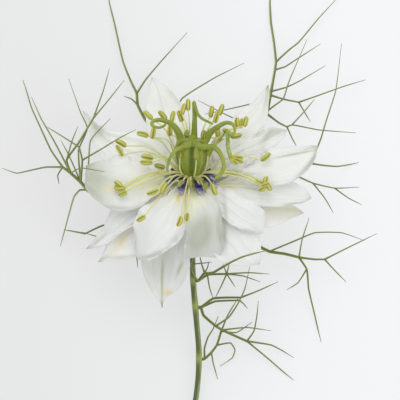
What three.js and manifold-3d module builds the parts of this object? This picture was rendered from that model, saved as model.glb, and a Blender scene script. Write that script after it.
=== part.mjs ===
// A white nigella flower with its young seed pod, cut from the plant and laid down.
// Millimetres, +Z up from the surface it lies on, +Y from the cut stem towards the flower.
// Places inside the flower are measured from its centre, the top of the receptacle.
import * as THREE from "three";
import { mergeVertices } from "three/addons/utils/BufferGeometryUtils.js";
import Module from "manifold-3d";

const wasm = await Module();
wasm.setup();

// Driving dimensions
const FLOWER_CENTRE = new THREE.Vector3(0.3, 8.05, 16.0);
const FLOOR = -FLOWER_CENTRE.z;
const POD_TILT_DEG = 28;
const POD_LEAN = 0.05;
const POD_HEIGHT = 8.9;
const POD_RADIUS = 3.3;
const POD_LOBES = 5;
const STEM_RADIUS = 0.72;
const RECEPTACLE_RADIUS = 1.7;
const RECEPTACLE_DEPTH = 2;
const INVOLUCRE_DROP = 3.2;
const SEPAL_THICKNESS = 0.6;
const ANTHER_LENGTH = 2.8;
const ANTHER_RADIUS = 0.52;
const FILAMENT_RADIUS = 0.22;
const NECTARY_COUNT = 8;
const THREAD_SIDES = 4;

const vector = (p) => new THREE.Vector3(...p);

// The flower's own axes: along the pod, to the right, and to the back, which faces the surface
const tilt = THREE.MathUtils.degToRad(POD_TILT_DEG);
const AXIS = new THREE.Vector3(POD_LEAN, Math.cos(tilt), Math.sin(tilt)).normalize();
const BACK = new THREE.Vector3(0, Math.sin(tilt), -Math.cos(tilt)).normalize();
const SIDE = new THREE.Vector3().crossVectors(BACK, AXIS).normalize();

// A point at an azimuth round the flower's axis, at a radius and a distance along it
function around(azimuth, radius, along) {
  return new THREE.Vector3()
    .addScaledVector(SIDE, radius * Math.cos(azimuth))
    .addScaledVector(BACK, radius * Math.sin(azimuth))
    .addScaledVector(AXIS, along);
}

// A closed solid from a geometry, with its shared vertices merged
function solid(geometry) {
  const bare = geometry.clone();
  bare.deleteAttribute("normal");
  bare.deleteAttribute("uv");
  const merged = mergeVertices(bare, 1e-4);
  return new wasm.Manifold(
    new wasm.Mesh({
      numProp: 3,
      vertProperties: new Float32Array(merged.attributes.position.array),
      triVerts: new Uint32Array(merged.index.array),
    }),
  );
}

// A geometry from a joined or cut solid
function geometryOf(body) {
  const mesh = body.getMesh();
  const positions = new Float32Array(mesh.numVert * 3);
  for (let i = 0; i < mesh.numVert; i++) {
    const at = i * mesh.numProp;
    positions.set(mesh.vertProperties.subarray(at, at + 3), i * 3);
  }
  const geometry = new THREE.BufferGeometry();
  geometry.setAttribute("position", new THREE.BufferAttribute(positions, 3));
  geometry.setIndex(new THREE.BufferAttribute(mesh.triVerts, 1));
  geometry.computeVertexNormals();
  return geometry;
}

// Closed skin over rings of points with the same count, capped flat at both ends
function skin(rings) {
  const sides = rings[0].length;
  const positions = [];
  const index = [];
  for (const ring of rings) for (const p of ring) positions.push(p.x, p.y, p.z);
  for (let i = 0; i + 1 < rings.length; i++) {
    for (let j = 0; j < sides; j++) {
      const a = i * sides + j;
      const b = i * sides + ((j + 1) % sides);
      index.push(a, b, a + sides, b, b + sides, a + sides);
    }
  }
  const last = (rings.length - 1) * sides;
  for (let j = 1; j + 1 < sides; j++) {
    index.push(0, j + 1, j);
    index.push(last, last + j, last + j + 1);
  }
  const geometry = new THREE.BufferGeometry();
  geometry.setAttribute("position", new THREE.Float32BufferAttribute(positions, 3));
  geometry.setIndex(index);
  return geometry;
}

// A tube through points, its radius a function of the share of its length
function tube(points, radiusAt, sides, stepsEach) {
  const curve = new THREE.CatmullRomCurve3(points, false, "centripetal");
  const steps = (points.length - 1) * stepsEach;
  const across = new THREE.Vector3(0.31, 0.17, 0.93);
  const rings = [];
  for (let i = 0; i <= steps; i++) {
    const centre = curve.getPoint(i / steps);
    const along = curve.getTangent(i / steps);
    across.addScaledVector(along, -across.dot(along)).normalize();
    const over = new THREE.Vector3().crossVectors(along, across);
    const radius = radiusAt(i / steps);
    const ring = [];
    for (let j = 0; j < sides; j++) {
      const turn = ((j + 0.5) / sides) * 2 * Math.PI;
      ring.push(
        centre
          .clone()
          .addScaledVector(across, radius * Math.cos(turn))
          .addScaledVector(over, radius * Math.sin(turn)),
      );
    }
    rings.push(ring);
  }
  return skin(rings);
}

// The largest solid of a union, with any pocket that it seals filled
function whole(parts) {
  const pieces = wasm.Manifold.union(parts).decompose();
  return pieces.reduce((best, piece) => (piece.volume() > best.volume() ? piece : best));
}

// Radii along a tube: an even taper, or one for each of its points
const taper = (from, to) => (share) => THREE.MathUtils.lerp(from, to, share);
const stepped = (radii) => (share) => radii[Math.round(share * (radii.length - 1))];

// Everything below the surface is pressed flat
const BELOW_FLOOR = 40;
const FLOOR_SIDE = 400;
const ground = solid(
  new THREE.BoxGeometry(FLOOR_SIDE, FLOOR_SIDE, BELOW_FLOOR).translate(
    0,
    0,
    FLOOR - BELOW_FLOOR / 2,
  ),
);
const pressed = (body) => body.subtract(ground);

const colours = {
  stem: 0x7d9150,
  frond: 0x76904a,
  sepal: 0xf0f0ec,
  pod: 0x7f9c3a,
  stamen: 0xc3bf4d,
  nectary: 0x4a3a68,
};
const materials = Object.fromEntries(
  Object.entries(colours).map(([name, color]) => [
    name,
    new THREE.MeshStandardMaterial({ name, color, roughness: 0.6, metalness: 0 }),
  ]),
);

const flower = new THREE.Group();
flower.position.copy(FLOWER_CENTRE);

function add(name, body, material) {
  const mesh = new THREE.Mesh(geometryOf(body), material);
  mesh.name = name;
  flower.add(mesh);
}

// Stem: from the cut end on the surface, up behind the flower, and on into the receptacle
const STEM_LINE = [
  [-1.4, -56, FLOOR + 0.66],
  [-0.4, -50, FLOOR + 1.1],
  [0.8, -44, FLOOR + 1.9],
  [1.7, -36, FLOOR + 3.3],
  [1.2, -28, FLOOR + 5.1],
  [0.4, -20, FLOOR + 7.6],
  [0.3, -14, FLOOR + 9.8],
  [0.1, -8, FLOOR + 12.2],
].map(vector);
const STEM_SIDES = 10;
const STEM_STEPS = 3;
const STEM_TOP = -2.3;
const KNOT_LENGTH = 0.025;
const NODE_SHARES = [0.3, 0.433, 0.5];

function stem() {
  const line = [...STEM_LINE, around(0, 0, -6.5), around(0, 0, -INVOLUCRE_DROP), around(0, 0, STEM_TOP)];
  const swollen = (share) => {
    const knot = NODE_SHARES.reduce((sum, at) => sum + Math.exp(-(((share - at) / KNOT_LENGTH) ** 2)), 0);
    return STEM_RADIUS * (1 + 0.15 * knot + 0.2 * share ** 8);
  };
  return pressed(solid(tube(line, swollen, STEM_SIDES, STEM_STEPS)));
}
add("stem", stem(), materials.stem);

// A frond is a tree of threads. Each row is [start radius, end radius, points].
// A thread starts on a point of the one that carries it.
function frond(root, rows) {
  const threads = rows.map(([from, to, points]) => {
    const line = points.map((p) => (p === "root" ? root : vector(p)));
    return solid(tube(line, taper(from, to), THREAD_SIDES, line.length > 3 ? 1 : 2));
  });
  return pressed(wasm.Manifold.union(threads));
}

// Bracts: the involucre's threads, rooted round the neck of the stem under the receptacle
const BRACT_ROOT_RADIUS = 1.9;
const bractRoot = (azimuthDeg) =>
  around(THREE.MathUtils.degToRad(azimuthDeg), BRACT_ROOT_RADIUS, -INVOLUCRE_DROP - 0.3);

const bracts = {
  bract_upper_left: [118, [
    [0.5, 0.36, [
      "root", [-5.2, 6.0, -7.4], [-9.6, 12.8, -10.6], [-10.8, 15.2, -11.6], [-11.0, 17.6, -12.4],
    ]],
    [0.36, 0.16, [
      [-11.0, 17.6, -12.4], [-12.2, 20, -13.2], [-13.8, 24, -14.2], [-15.6, 32, -15.4],
      [-16.6, 36, -15.93], [-17.2, 40, -15.93],
    ]],
    [0.32, 0.15, [[-11.0, 17.6, -12.4], [-9.2, 20.4, -13.0], [-6.2, 24, -13.8], [-0.8, 30, -15.0]]],
    [0.28, 0.15, [[-10.8, 15.2, -11.6], [-12, 16.4, -11.4], [-13.6, 17, -10.8]]],
    [0.32, 0.15, [
      [-5.2, 6.0, -7.4], [-3.8, 13, -11.0], [-1.8, 16.6, -12.4], [4.8, 20.8, -13.6],
      [10.8, 23.8, -14.4],
    ]],
  ]],
  bract_upper_right: [52, [
    [0.55, 0.4, ["root", [7.8, 6.0, -8.2], [14.2, 10.4, -11.0], [15.4, 14, -12.0], [16.2, 18, -12.8]]],
    [0.4, 0.3, [
      [16.2, 18, -12.8], [17.0, 22.4, -13.6], [17.2, 24, -14.0], [16.8, 28, -14.6], [16.2, 32, -15.6],
      [16, 36, -15.84], [16.2, 39.6, -15.84],
    ]],
    [0.3, 0.15, [
      [17.2, 24, -14.0], [19.8, 26.4, -14.2], [21.8, 28, -14.4], [25.8, 32.8, -14.9],
      [30.2, 37.6, -15.4],
    ]],
    [0.28, 0.15, [[17.0, 22.4, -13.6], [19, 23, -13.4], [21.8, 24.8, -13.2], [26.2, 27.6, -12.8]]],
    [0.28, 0.15, [[16.2, 18, -12.8], [19.2, 18.8, -12.4], [21.8, 20, -12.0], [27.2, 23.2, -11.2]]],
    [0.3, 0.22, [[16.2, 17.2, -12.7], [18.8, 16.4, -12.8], [21.8, 15.8, -13.0]]],
    [0.24, 0.15, [[21.8, 15.8, -13.0], [25.8, 17.2, -13.6], [30.8, 19, -14.2], [35.4, 20.4, -14.8]]],
    [0.22, 0.15, [[21.8, 15.8, -13.0], [23, 13.8, -13.6], [24.2, 11.8, -14.2]]],
    [0.28, 0.15, [
      [15.4, 14, -12.0], [17, 15.2, -11.4], [18.6, 16.4, -10.8], [19.8, 20, -10.2], [23.4, 28.4, -9.4],
    ]],
    [0.32, 0.22, [[15.4, 13.4, -11.9], [17.8, 11.6, -11.8], [19.4, 10.8, -11.8]]],
    [0.26, 0.15, [[19.4, 10.8, -11.8], [20.4, 11.2, -11.9], [25.8, 10.2, -12.4], [33.4, 9.6, -13.2]]],
    [0.22, 0.15, [[20.4, 11.2, -11.9], [22.8, 13.8, -12.2], [25, 16.4, -12.6]]],
    [0.22, 0.15, [[19.4, 10.8, -11.8], [20.4, 8.6, -12.6], [21.4, 6.8, -13.2]]],
    [0.24, 0.15, [
      [16.0, 17.0, -12.6], [14.2, 16.4, -12.6], [11.8, 15.4, -12.8], [6.6, 14.2, -13.2],
      [2.8, 13.4, -13.6],
    ]],
    [0.24, 0.15, [[14.2, 10.4, -11.0], [9.8, 12, -12.0], [6.4, 13.6, -12.8], [1.4, 16.2, -13.8]]],
  ]],
  bract_left: [182, [
    [0.55, 0.5, [
      "root", [-8.2, -3.4, -6.4], [-16.2, -4.4, -6.4], [-19.2, -3.2, -5.6], [-20.8, -2.0, -5.0],
    ]],
    [0.5, 0.36, [[-20.8, -2.0, -5.0], [-22.2, -0.4, -4.6], [-24.2, 1.4, -4.4], [-25.8, 2.6, -4.4]]],
    [0.3, 0.15, [
      [-25.8, 2.6, -4.4], [-28.2, 6, -6.6], [-30.6, 11, -10.0], [-32.4, 14.8, -13.6],
      [-33.4, 18, -15.93], [-34.2, 20.4, -15.93],
    ]],
    [0.28, 0.15, [[-24.2, 1.4, -4.4], [-27.4, 7.6, -5.0], [-30.2, 12.4, -6.4], [-32.2, 16.8, -8.0]]],
    [0.3, 0.15, [
      [-25.8, 2.6, -4.4], [-29.2, 2.6, -5.4], [-32.2, 2.0, -7.0], [-35.2, 1.4, -9.2],
      [-38.2, 2.4, -11.6],
    ]],
    [0.26, 0.15, [[-25.8, 2.6, -4.4], [-26.8, 1.0, -5.6], [-26.6, -0.8, -7.4]]],
    [0.32, 0.24, [
      [-24.2, 1.4, -4.4], [-25.0, 4.0, -3.6], [-22.6, 7.4, -3.0], [-20.8, 10.4, -2.8],
      [-19.6, 12.4, -2.8],
    ]],
    [0.24, 0.14, [[-19.6, 12.4, -2.8], [-17.6, 18, -3.6], [-16.4, 22.4, -4.6]]],
    [0.24, 0.14, [[-19.6, 12.4, -2.8], [-16.6, 16, -2.6], [-13.4, 20, -2.6]]],
    [0.28, 0.14, [
      [-22.2, -0.4, -4.6], [-22.6, 6, -4.0], [-20.8, 10.4, -3.4], [-22.2, 13.6, -4.0],
      [-24.6, 20.4, -5.4],
    ]],
    [0.24, 0.14, [[-25.0, 4.0, -3.6], [-23.8, 8, -2.0], [-22.6, 10.8, -1.0]]],
    [0.3, 0.24, [[-22.2, -0.4, -4.6], [-21.8, 4, -2.0], [-22.4, 6.6, -1.6]]],
    [0.24, 0.14, [[-22.4, 6.6, -1.6], [-26.2, 9, -2.4], [-29.2, 10.8, -3.4]]],
    [0.26, 0.14, [[-21.8, 4, -2.0], [-18.2, 6, 1.0], [-14.2, 8.4, 2.8], [-11, 10, 3.8]]],
    [0.26, 0.14, [
      [-20.8, -2.0, -5.0], [-20.6, 3.4, -4.4], [-20.2, 8, -5.0], [-18.2, 10.4, -5.6],
      [-16.2, 12.4, -6.2],
    ]],
    [0.24, 0.14, [[-24.2, 1.4, -4.4], [-21.6, 2.4, -1.0], [-17.2, 1.6, 1.4]]],
    [0.24, 0.14, [[-22.2, -0.4, -4.6], [-24.4, 4.6, -6.0], [-26.2, 8, -7.4]]],
    [0.3, 0.15, [
      [-20.8, -2.0, -5.0], [-22.4, -2.0, -6.4], [-23.6, -3.4, -8.0], [-24.6, -6.6, -10.6],
      [-25.6, -10, -14.0], [-26.2, -12, -15.93], [-26.6, -13.4, -15.93],
    ]],
  ]],
  bract_lower_left: [224, [
    [0.45, 0.3, [
      "root", [-5.2, -5.4, -7.4], [-12.2, -8.0, -9.2], [-18, -9.2, -10.4], [-21.4, -10.8, -11.2],
    ]],
    [0.28, 0.15, [[-21.4, -10.8, -11.2], [-24.2, -10.4, -12.0], [-27.4, -11.6, -13.4]]],
    [0.26, 0.15, [
      [-12.2, -8.0, -9.2], [-15.8, -10.8, -10.4], [-18.8, -11.4, -11.2], [-21.8, -10.6, -12.2],
    ]],
    [0.26, 0.15, [
      [-12.2, -8.0, -9.2], [-13.6, -12.0, -11.2], [-14.4, -16.0, -13.2], [-14.6, -20.0, -15.4],
    ]],
  ]],
  bract_right: [2, [
    [0.5, 0.34, ["root", [9.8, -0.6, -7.4], [19.8, 1.6, -9.2], [24.2, 3.4, -9.8]]],
    [0.3, 0.15, [
      [24.2, 3.4, -9.8], [26.8, 3.0, -10.8], [29.6, 2.8, -12.8], [32.2, 3.2, -15.93],
      [34.0, 3.6, -15.93],
    ]],
    [0.28, 0.14, [
      [24.2, 3.4, -9.8], [26.2, 8.4, -9.6], [27.4, 12.4, -9.6], [29.2, 18, -9.8], [30.4, 27.6, -10.4],
    ]],
    [0.28, 0.15, [[19.8, 1.6, -9.2], [24.6, -0.6, -9.6], [29.0, -1.6, -10.2], [34.0, -1.4, -11.0]]],
    [0.22, 0.14, [[29.0, -1.6, -10.2], [31.8, -3.6, -11.0], [34.6, -5.0, -12.0]]],
    [0.22, 0.14, [[24.6, -0.6, -9.6], [27.0, -3.6, -10.6], [28.8, -6.6, -11.8]]],
  ]],
  bract_lower_right: [322, [
    [0.5, 0.36, [
      "root", [8.4, -6.0, -7.6], [15.8, -11.0, -9.4], [19.2, -13.6, -10.2], [21.8, -15.6, -10.8],
    ]],
    [0.32, 0.15, [
      [21.8, -15.6, -10.8], [23.4, -18.0, -11.6], [23.8, -22.0, -12.8], [25.0, -27, -14.8],
      [25.8, -30.4, -15.93], [26.4, -32.8, -15.93],
    ]],
    [0.32, 0.24, [[21.8, -15.6, -10.8], [25.0, -16.0, -11.0], [27.0, -16.0, -11.2]]],
    [0.26, 0.15, [[27.0, -16.0, -11.2], [31.4, -13.8, -11.6], [37.6, -10.8, -12.6]]],
    [0.24, 0.15, [[27.0, -16.0, -11.2], [29.0, -18.2, -11.8], [31.4, -20.6, -12.8]]],
    [0.26, 0.15, [
      [19.2, -13.6, -10.2], [21.8, -11.8, -10.0], [25.0, -10.6, -9.8], [30.4, -10.6, -9.8],
      [35.0, -12.2, -10.4],
    ]],
    [0.24, 0.14, [[21.8, -15.6, -10.8], [22.4, -12.0, -9.2], [23.8, -7.6, -8.0]]],
    [0.24, 0.14, [[23.4, -18.0, -11.6], [21.6, -20.8, -12.4], [19.4, -22.2, -13.4]]],
  ]],
};
for (const [name, [azimuth, rows]] of Object.entries(bracts)) {
  add(name, frond(bractRoot(azimuth), rows), materials.frond);
}

// Leaves of the stem: like the bracts, rooted beside the stem's nodes
const leaves = {
  leaf_upper: [[1.75, -20.6, -8.6], [
    [0.42, 0.3, ["root", [2.9, -18.8, -8.6], [4.4, -18.2, -8.8], [6.4, -17, -9.2]]],
    [0.28, 0.15, [[6.4, -17, -9.2], [9.8, -15.6, -9.8], [14.4, -14.2, -10.8]]],
    [0.28, 0.15, [[2.9, -18.8, -8.6], [2.4, -16.8, -8.2], [2.0, -14.6, -7.6]]],
    [0.24, 0.15, [[4.4, -18.2, -8.8], [3.8, -16.4, -8.6], [4.0, -14.8, -8.2]]],
    [0.36, 0.28, ["root", [3.6, -19.4, -10.0], [7.2, -18.8, -11.4]]],
    [0.26, 0.15, [[7.2, -18.8, -11.4], [12.8, -18.6, -12.4], [15.8, -19.0, -13.0]]],
    [0.24, 0.15, [[7.2, -18.8, -11.4], [10.8, -19.8, -12.6], [14.2, -20.6, -13.8]]],
    [0.22, 0.15, [[7.2, -18.8, -11.4], [8.0, -16.8, -11.0], [9.4, -15.6, -10.8]]],
    [0.22, 0.15, [[7.2, -18.8, -11.4], [8.0, -20.4, -12.2], [9.0, -22.0, -13.2]]],
    [0.24, 0.15, [[7.2, -18.8, -11.4], [6.2, -21, -11.8], [5.2, -23.4, -12.4]]],
    [0.24, 0.15, [[3.6, -19.4, -10.0], [3.9, -21.4, -10.4], [4.5, -23.4, -11.0]]],
  ]],
  leaf_middle: [[2.6, -26.0, -10.6], [
    [0.4, 0.28, ["root", [4.4, -23.9, -9.8], [7.0, -23.6, -9.8], [10.8, -23.4, -9.8]]],
    [0.28, 0.15, [[10.8, -23.4, -9.8], [14.2, -22, -9.8], [18.0, -20, -10.0]]],
    [0.32, 0.24, ["root", [5.2, -24.6, -11.6], [9.8, -24.4, -12.4]]],
    [0.24, 0.15, [[9.8, -24.4, -12.4], [11.4, -26.2, -13.0], [12.4, -28.0, -13.8]]],
    [0.24, 0.15, [[9.8, -24.4, -12.4], [13.0, -24.8, -13.0], [16.2, -25.6, -13.8]]],
    [0.4, 0.34, [
      "root", [3.8, -28.2, -11.4], [5.4, -29.6, -11.8], [7.8, -31.2, -12.4], [11.4, -32.6, -13.2],
    ]],
    [0.28, 0.15, [
      [5.4, -29.6, -11.8], [7.6, -28, -10.8], [9.4, -25.2, -8.4], [10.8, -22, -7.0],
      [11.8, -17.8, -6.2],
    ]],
    [0.26, 0.15, [[5.4, -29.6, -11.8], [9.8, -29.9, -12.2], [12.8, -30, -12.4], [16.2, -30.8, -13.0]]],
    [0.3, 0.15, [[11.4, -32.6, -13.2], [16.2, -33.4, -14.2], [18.2, -34.4, -14.8], [20.8, -36, -15.8]]],
    [0.28, 0.15, [
      [11.4, -32.6, -13.2], [15.4, -36, -14.6], [18.6, -38.8, -15.93], [20.8, -40.6, -15.93],
    ]],
    [0.28, 0.15, [
      [11.4, -32.6, -13.2], [12.8, -31, -13.0], [13.3, -27.6, -12.4], [13.6, -24.4, -11.8],
    ]],
  ]],
  leaf_lower: [[3.1, -36.6, -13.0], [
    [0.4, 0.3, ["root", [4.4, -35.6, -13.2], [5.4, -33.6, -13.4], [6.6, -30.4, -13.8]]],
    [0.28, 0.15, [[6.6, -30.4, -13.8], [7.6, -27.4, -14.2], [9.6, -23.8, -14.8]]],
    [0.26, 0.15, [
      [5.4, -33.6, -13.4], [8.6, -34.0, -14.4], [10.6, -36.0, -15.2], [11.0, -38.6, -15.8],
    ]],
    [0.24, 0.15, [[6.6, -30.4, -13.8], [9.6, -30.6, -14.8], [12.8, -28.8, -15.6]]],
    [0.24, 0.15, [[4.4, -35.6, -13.2], [6.4, -38.0, -14.4], [7.4, -41.2, -15.8]]],
  ]],
};
for (const [name, [root, rows]] of Object.entries(leaves)) {
  add(name, frond(vector(root), rows), materials.frond);
}

// Young seed pod: five fused lobes on a short foot, each lobe drawn out into a curling horn
const POD_SIDES = 25;
const POD_PROFILE = [
  [0.0, 0.52], [0.08, 0.66], [0.22, 0.84], [0.4, 0.97], [0.58, 1.0], [0.74, 0.96], [0.88, 0.84],
  [1.0, 0.6],
];
const POD_FOOT = 2.2;
const LOBE_DEPTH = 0.1;
const horns = [
  [
    [-2.0, 7.7, 3.2], [-3.2, 10.4, 4.4], [-4.6, 11.6, 5.0], [-6.6, 12, 5.2], [-8.0, 11.2, 5.4],
    [-7.0, 10.1, 5.8], [-5.7, 10.5, 6.6], [-5.0, 11.3, 7.2],
  ],
  [
    [0.5, 8.3, 1.6], [0.6, 11, 2.4], [0.5, 13.6, 3.2], [0.5, 15.4, 3.6], [1.2, 15.2, 4.2],
    [1.9, 13, 4.6], [3.0, 11.8, 4.7], [4.4, 11, 4.8],
  ],
  [
    [3.0, 7.7, 3.2], [4.4, 10.2, 4.2], [6.0, 11.4, 4.8], [7.6, 11.4, 5.2], [8.6, 10.6, 5.4],
    [8.6, 9.4, 5.9], [7.7, 8.8, 6.6], [7.0, 9.6, 7.0],
  ],
  [
    [-1.1, 6.1, 5.7], [-2.2, 7.0, 6.8], [-3.4, 6, 7.5], [-4.4, 4.4, 7.8], [-5.0, 2.8, 7.5],
    [-5.0, 1.4, 7.0],
  ],
  [
    [2.0, 6.1, 5.7], [3.5, 7.0, 6.8], [5.0, 6.4, 7.5], [6.2, 4.4, 7.9], [6.6, 2.8, 7.7],
    [6.0, 1.4, 7.3], [4.8, 0.4, 7.0],
  ],
];
const HORN_RADII = [0.95, 0.26];

function seedPod() {
  const rings = POD_PROFILE.map(([share, swell]) => {
    const ring = [];
    for (let j = 0; j < POD_SIDES; j++) {
      const azimuth = (j / POD_SIDES) * 2 * Math.PI;
      const lobe = 1 - LOBE_DEPTH * (1 - Math.cos(POD_LOBES * (azimuth - Math.PI / 2))) * share;
      ring.push(around(azimuth, POD_RADIUS * swell * lobe, POD_FOOT + share * (POD_HEIGHT - POD_FOOT)));
    }
    return ring;
  });
  const body = solid(skin(rings));
  const slim = (share) => THREE.MathUtils.lerp(HORN_RADII[0], HORN_RADII[1], share ** 0.55);
  const inside = around(0, 0, POD_HEIGHT * 0.72);
  const arms = horns.map((line) => {
    const points = line.map(vector);
    const sunk = points[0].clone().lerp(inside, 0.45);
    return solid(tube([sunk, ...points], slim, 6, 2));
  });
  return whole([body, ...arms]);
}

add("young_seed_pod", seedPod(), materials.pod);

// Corolla: petal-like sepals in three whorls, their claws sunk in the receptacle.
// Each row is [azimuth, whorl, half width, cup, roll, midrib points out to the tip].
// Whorl 0 is the innermost. Cup lifts the edges, roll turns the blade about its midrib.
const SEPALS = [
  [115, 1, 3.6, 0.9, 10, [[-4.4, 9.8, -7.6], [-6.2, 16.4, -11.0], [-7.8, 20.8, -12.2]]],
  [152, 2, 4.2, 0.8, 0, [[-11.6, 5.8, -5.6], [-17.4, 8.6, -6.8], [-21.8, 13.4, -7.6]]],
  [181, 1, 5.7, 0.6, 0, [[-10.5, -0.2, 0.2], [-17.6, -0.2, 0.9], [-21.6, 1.0, -1.6]]],
  [205, 0, 4.9, 0.7, -4, [[-10.2, -6.6, 3.2], [-15.6, -10.2, 2.4], [-21.0, -13.8, -1.2]]],
  [224, 2, 4.6, 0.5, 0, [[-7.6, -8.8, 0.2], [-13.2, -12.6, -1.2], [-18.6, -16.4, -4.2]]],
  [246, 0, 5.8, 0.9, 0, [[-4.6, -8.4, 5.6], [-7.4, -13.0, 4.6], [-10.6, -17.0, 0.8]]],
  [262, 2, 4.8, 0.7, 0, [[-3.8, -13.0, 0.8], [-5.2, -19.6, -1.8], [-5.8, -25.4, -5.4]]],
  [281, 0, 5.2, 2.0, 0, [[2.6, -7.6, 6.4], [2.9, -11.8, 6.2], [1.6, -15.0, 4.2]]],
  [306, 1, 4.2, 1.0, 0, [[7.8, -8.4, 4.0], [11.0, -12.8, 2.8], [13.4, -16.8, -0.4]]],
  [328, 0, 3.2, 0.8, 0, [[9.4, -4.6, 4.4], [13.4, -7.2, 4.4], [16.6, -9.2, 3.0]]],
  [340, 2, 3.9, 0.6, 0, [[11.6, -5.4, -0.8], [17.6, -6.4, -1.6], [22.8, -5.6, -3.0]]],
  [351, 1, 3.8, 0.6, 0, [[12.6, -2.0, 1.0], [18.8, -3.2, 0.8], [24.0, -4.0, -0.4]]],
  [6, 2, 4.4, 0.6, 0, [[13.0, 2.6, -1.6], [19.6, 4.0, -2.4], [25.6, 6.8, -3.6]]],
  [32, 0, 3.6, 1.0, 0, [[9.6, 6.0, -1.4], [14.8, 8.2, -1.8], [19.2, 10.0, -2.6]]],
  [64, 1, 3.8, 1.0, -10, [[7.8, 9.4, -6.2], [12.0, 14.0, -8.4], [15.8, 19.0, -9.8]]],
];
const SEPAL_ROWS = 10;
const SEPAL_COLUMNS = 4;
const CLAW_SHARE = 0.13;
const CLAW_REACH = 4.2;
const WHORL_LEVEL = [-0.6, -1.1, -1.6];
const CLAW_END = 0.42;
const SEPAL_FACING = new THREE.Vector3(0, 0.3, 1);
const WAVE_HEIGHT = 0.45;
const WAVES = 2.5;

// How wide a sepal is, from its claw at 0 to its pointed tip at 1
function sepalWidth(share) {
  const spread = (share ** 1.8 * (1 - share) ** 1.25) / 0.127;
  return CLAW_SHARE * (1 - share) + (1 - CLAW_SHARE * 0.4) * spread + 0.02;
}

function sepal([azimuthDeg, whorl, halfWidth, cup, roll, midrib], order) {
  const azimuth = THREE.MathUtils.degToRad(azimuthDeg);
  const level = WHORL_LEVEL[whorl];
  const line = [around(azimuth, 0.8, level), around(azimuth, CLAW_REACH, level), ...midrib.map(vector)];
  const curve = new THREE.CatmullRomCurve3(line, false, "centripetal");
  const grid = [];
  for (let i = 0; i <= SEPAL_ROWS; i++) {
    const share = i / SEPAL_ROWS;
    const centre = curve.getPointAt(share);
    const along = curve.getTangentAt(share);
    const opened = THREE.MathUtils.smoothstep(share, 0.05, CLAW_END);
    const face = AXIS.clone().lerp(SEPAL_FACING, opened);
    face.addScaledVector(along, -face.dot(along)).normalize();
    face.applyAxisAngle(along, THREE.MathUtils.degToRad(roll));
    const across = new THREE.Vector3().crossVectors(along, face);
    const row = [];
    for (let j = 0; j <= SEPAL_COLUMNS; j++) {
      const side = (2 * j) / SEPAL_COLUMNS - 1;
      const wave = WAVE_HEIGHT * Math.sin(2 * Math.PI * WAVES * share + 1.7 * order + 1.3 * side);
      const lift = (cup * Math.sin(Math.PI * share) + wave * share) * side * side;
      row.push(
        centre
          .clone()
          .addScaledVector(across, side * halfWidth * sepalWidth(share))
          .addScaledVector(face, lift),
      );
    }
    grid.push(row);
  }
  return solid(blade(grid, SEPAL_THICKNESS));
}

// A closed blade of one thickness over a grid of points, split alike on both faces
function blade(grid, thickness) {
  const rows = grid.length;
  const columns = grid[0].length;
  const at = (i, j) => grid[Math.min(Math.max(i, 0), rows - 1)][Math.min(Math.max(j, 0), columns - 1)];
  const faces = [1, -1].map((way) =>
    grid.flatMap((row, i) =>
      row.map((p, j) => {
        const down = new THREE.Vector3().subVectors(at(i + 1, j), at(i - 1, j));
        const over = new THREE.Vector3().subVectors(at(i, j + 1), at(i, j - 1));
        const normal = new THREE.Vector3().crossVectors(over, down).normalize();
        return p.clone().addScaledVector(normal, (way * thickness) / 2);
      }),
    ),
  );
  const positions = faces.flat().flatMap((p) => [p.x, p.y, p.z]);
  const back = rows * columns;
  const index = [];
  for (let i = 0; i + 1 < rows; i++) {
    for (let j = 0; j + 1 < columns; j++) {
      const a = i * columns + j;
      const c = a + columns;
      index.push(a, a + 1, c, a + 1, c + 1, c);
      index.push(back + a, back + c, back + a + 1, back + a + 1, back + c, back + c + 1);
    }
  }
  const rim = [];
  for (let j = 0; j < columns; j++) rim.push(j);
  for (let i = 1; i < rows; i++) rim.push(i * columns + columns - 1);
  for (let j = columns - 2; j >= 0; j--) rim.push((rows - 1) * columns + j);
  for (let i = rows - 2; i > 0; i--) rim.push(i * columns);
  for (let k = 0; k < rim.length; k++) {
    const a = rim[k];
    const b = rim[(k + 1) % rim.length];
    index.push(b, a, back + a, b, back + a, back + b);
  }
  const geometry = new THREE.BufferGeometry();
  geometry.setAttribute("position", new THREE.Float32BufferAttribute(positions, 3));
  geometry.setIndex(index);
  return geometry;
}

// A round disc across the flower's axis
const DISC_SIDES = 16;

function disc(radius, from, to) {
  const lathe = new THREE.LatheGeometry(
    [[0, from], [radius, from], [radius, to], [0, to]].map((p) => new THREE.Vector2(...p)),
    DISC_SIDES,
  );
  const turn = new THREE.Quaternion().setFromUnitVectors(new THREE.Vector3(0, 1, 0), AXIS);
  return solid(lathe.applyQuaternion(turn));
}

function corolla() {
  return pressed(whole([disc(RECEPTACLE_RADIUS, -RECEPTACLE_DEPTH, 0), ...SEPALS.map(sepal)]));
}
add("sepals", corolla(), materials.sepal);

// Nectaries: a ring of small bent cups between the sepals and the stamens.
// Each point of a cup is [radius from the flower's axis, distance along it].
const NECTARY_LINE = [[1.4, 0.6], [2.4, 0.85], [3.1, 1.1], [3.7, 1.05], [4.3, 0.7]];
const NECTARY_RADII = [0.3, 0.36, 0.5, 0.52, 0.28];
const NECTARY_DISC = [1.9, 0.3, 0.8];

function nectaries() {
  const cups = [];
  for (let k = 0; k < NECTARY_COUNT; k++) {
    const azimuth = ((k + 0.5) / NECTARY_COUNT) * 2 * Math.PI;
    const line = NECTARY_LINE.map(([radius, along]) => around(azimuth, radius, along));
    cups.push(solid(tube(line, stepped(NECTARY_RADII), 6, 1)));
  }
  return whole([disc(...NECTARY_DISC), ...cups]);
}
add("nectaries", nectaries(), materials.nectary);

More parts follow.
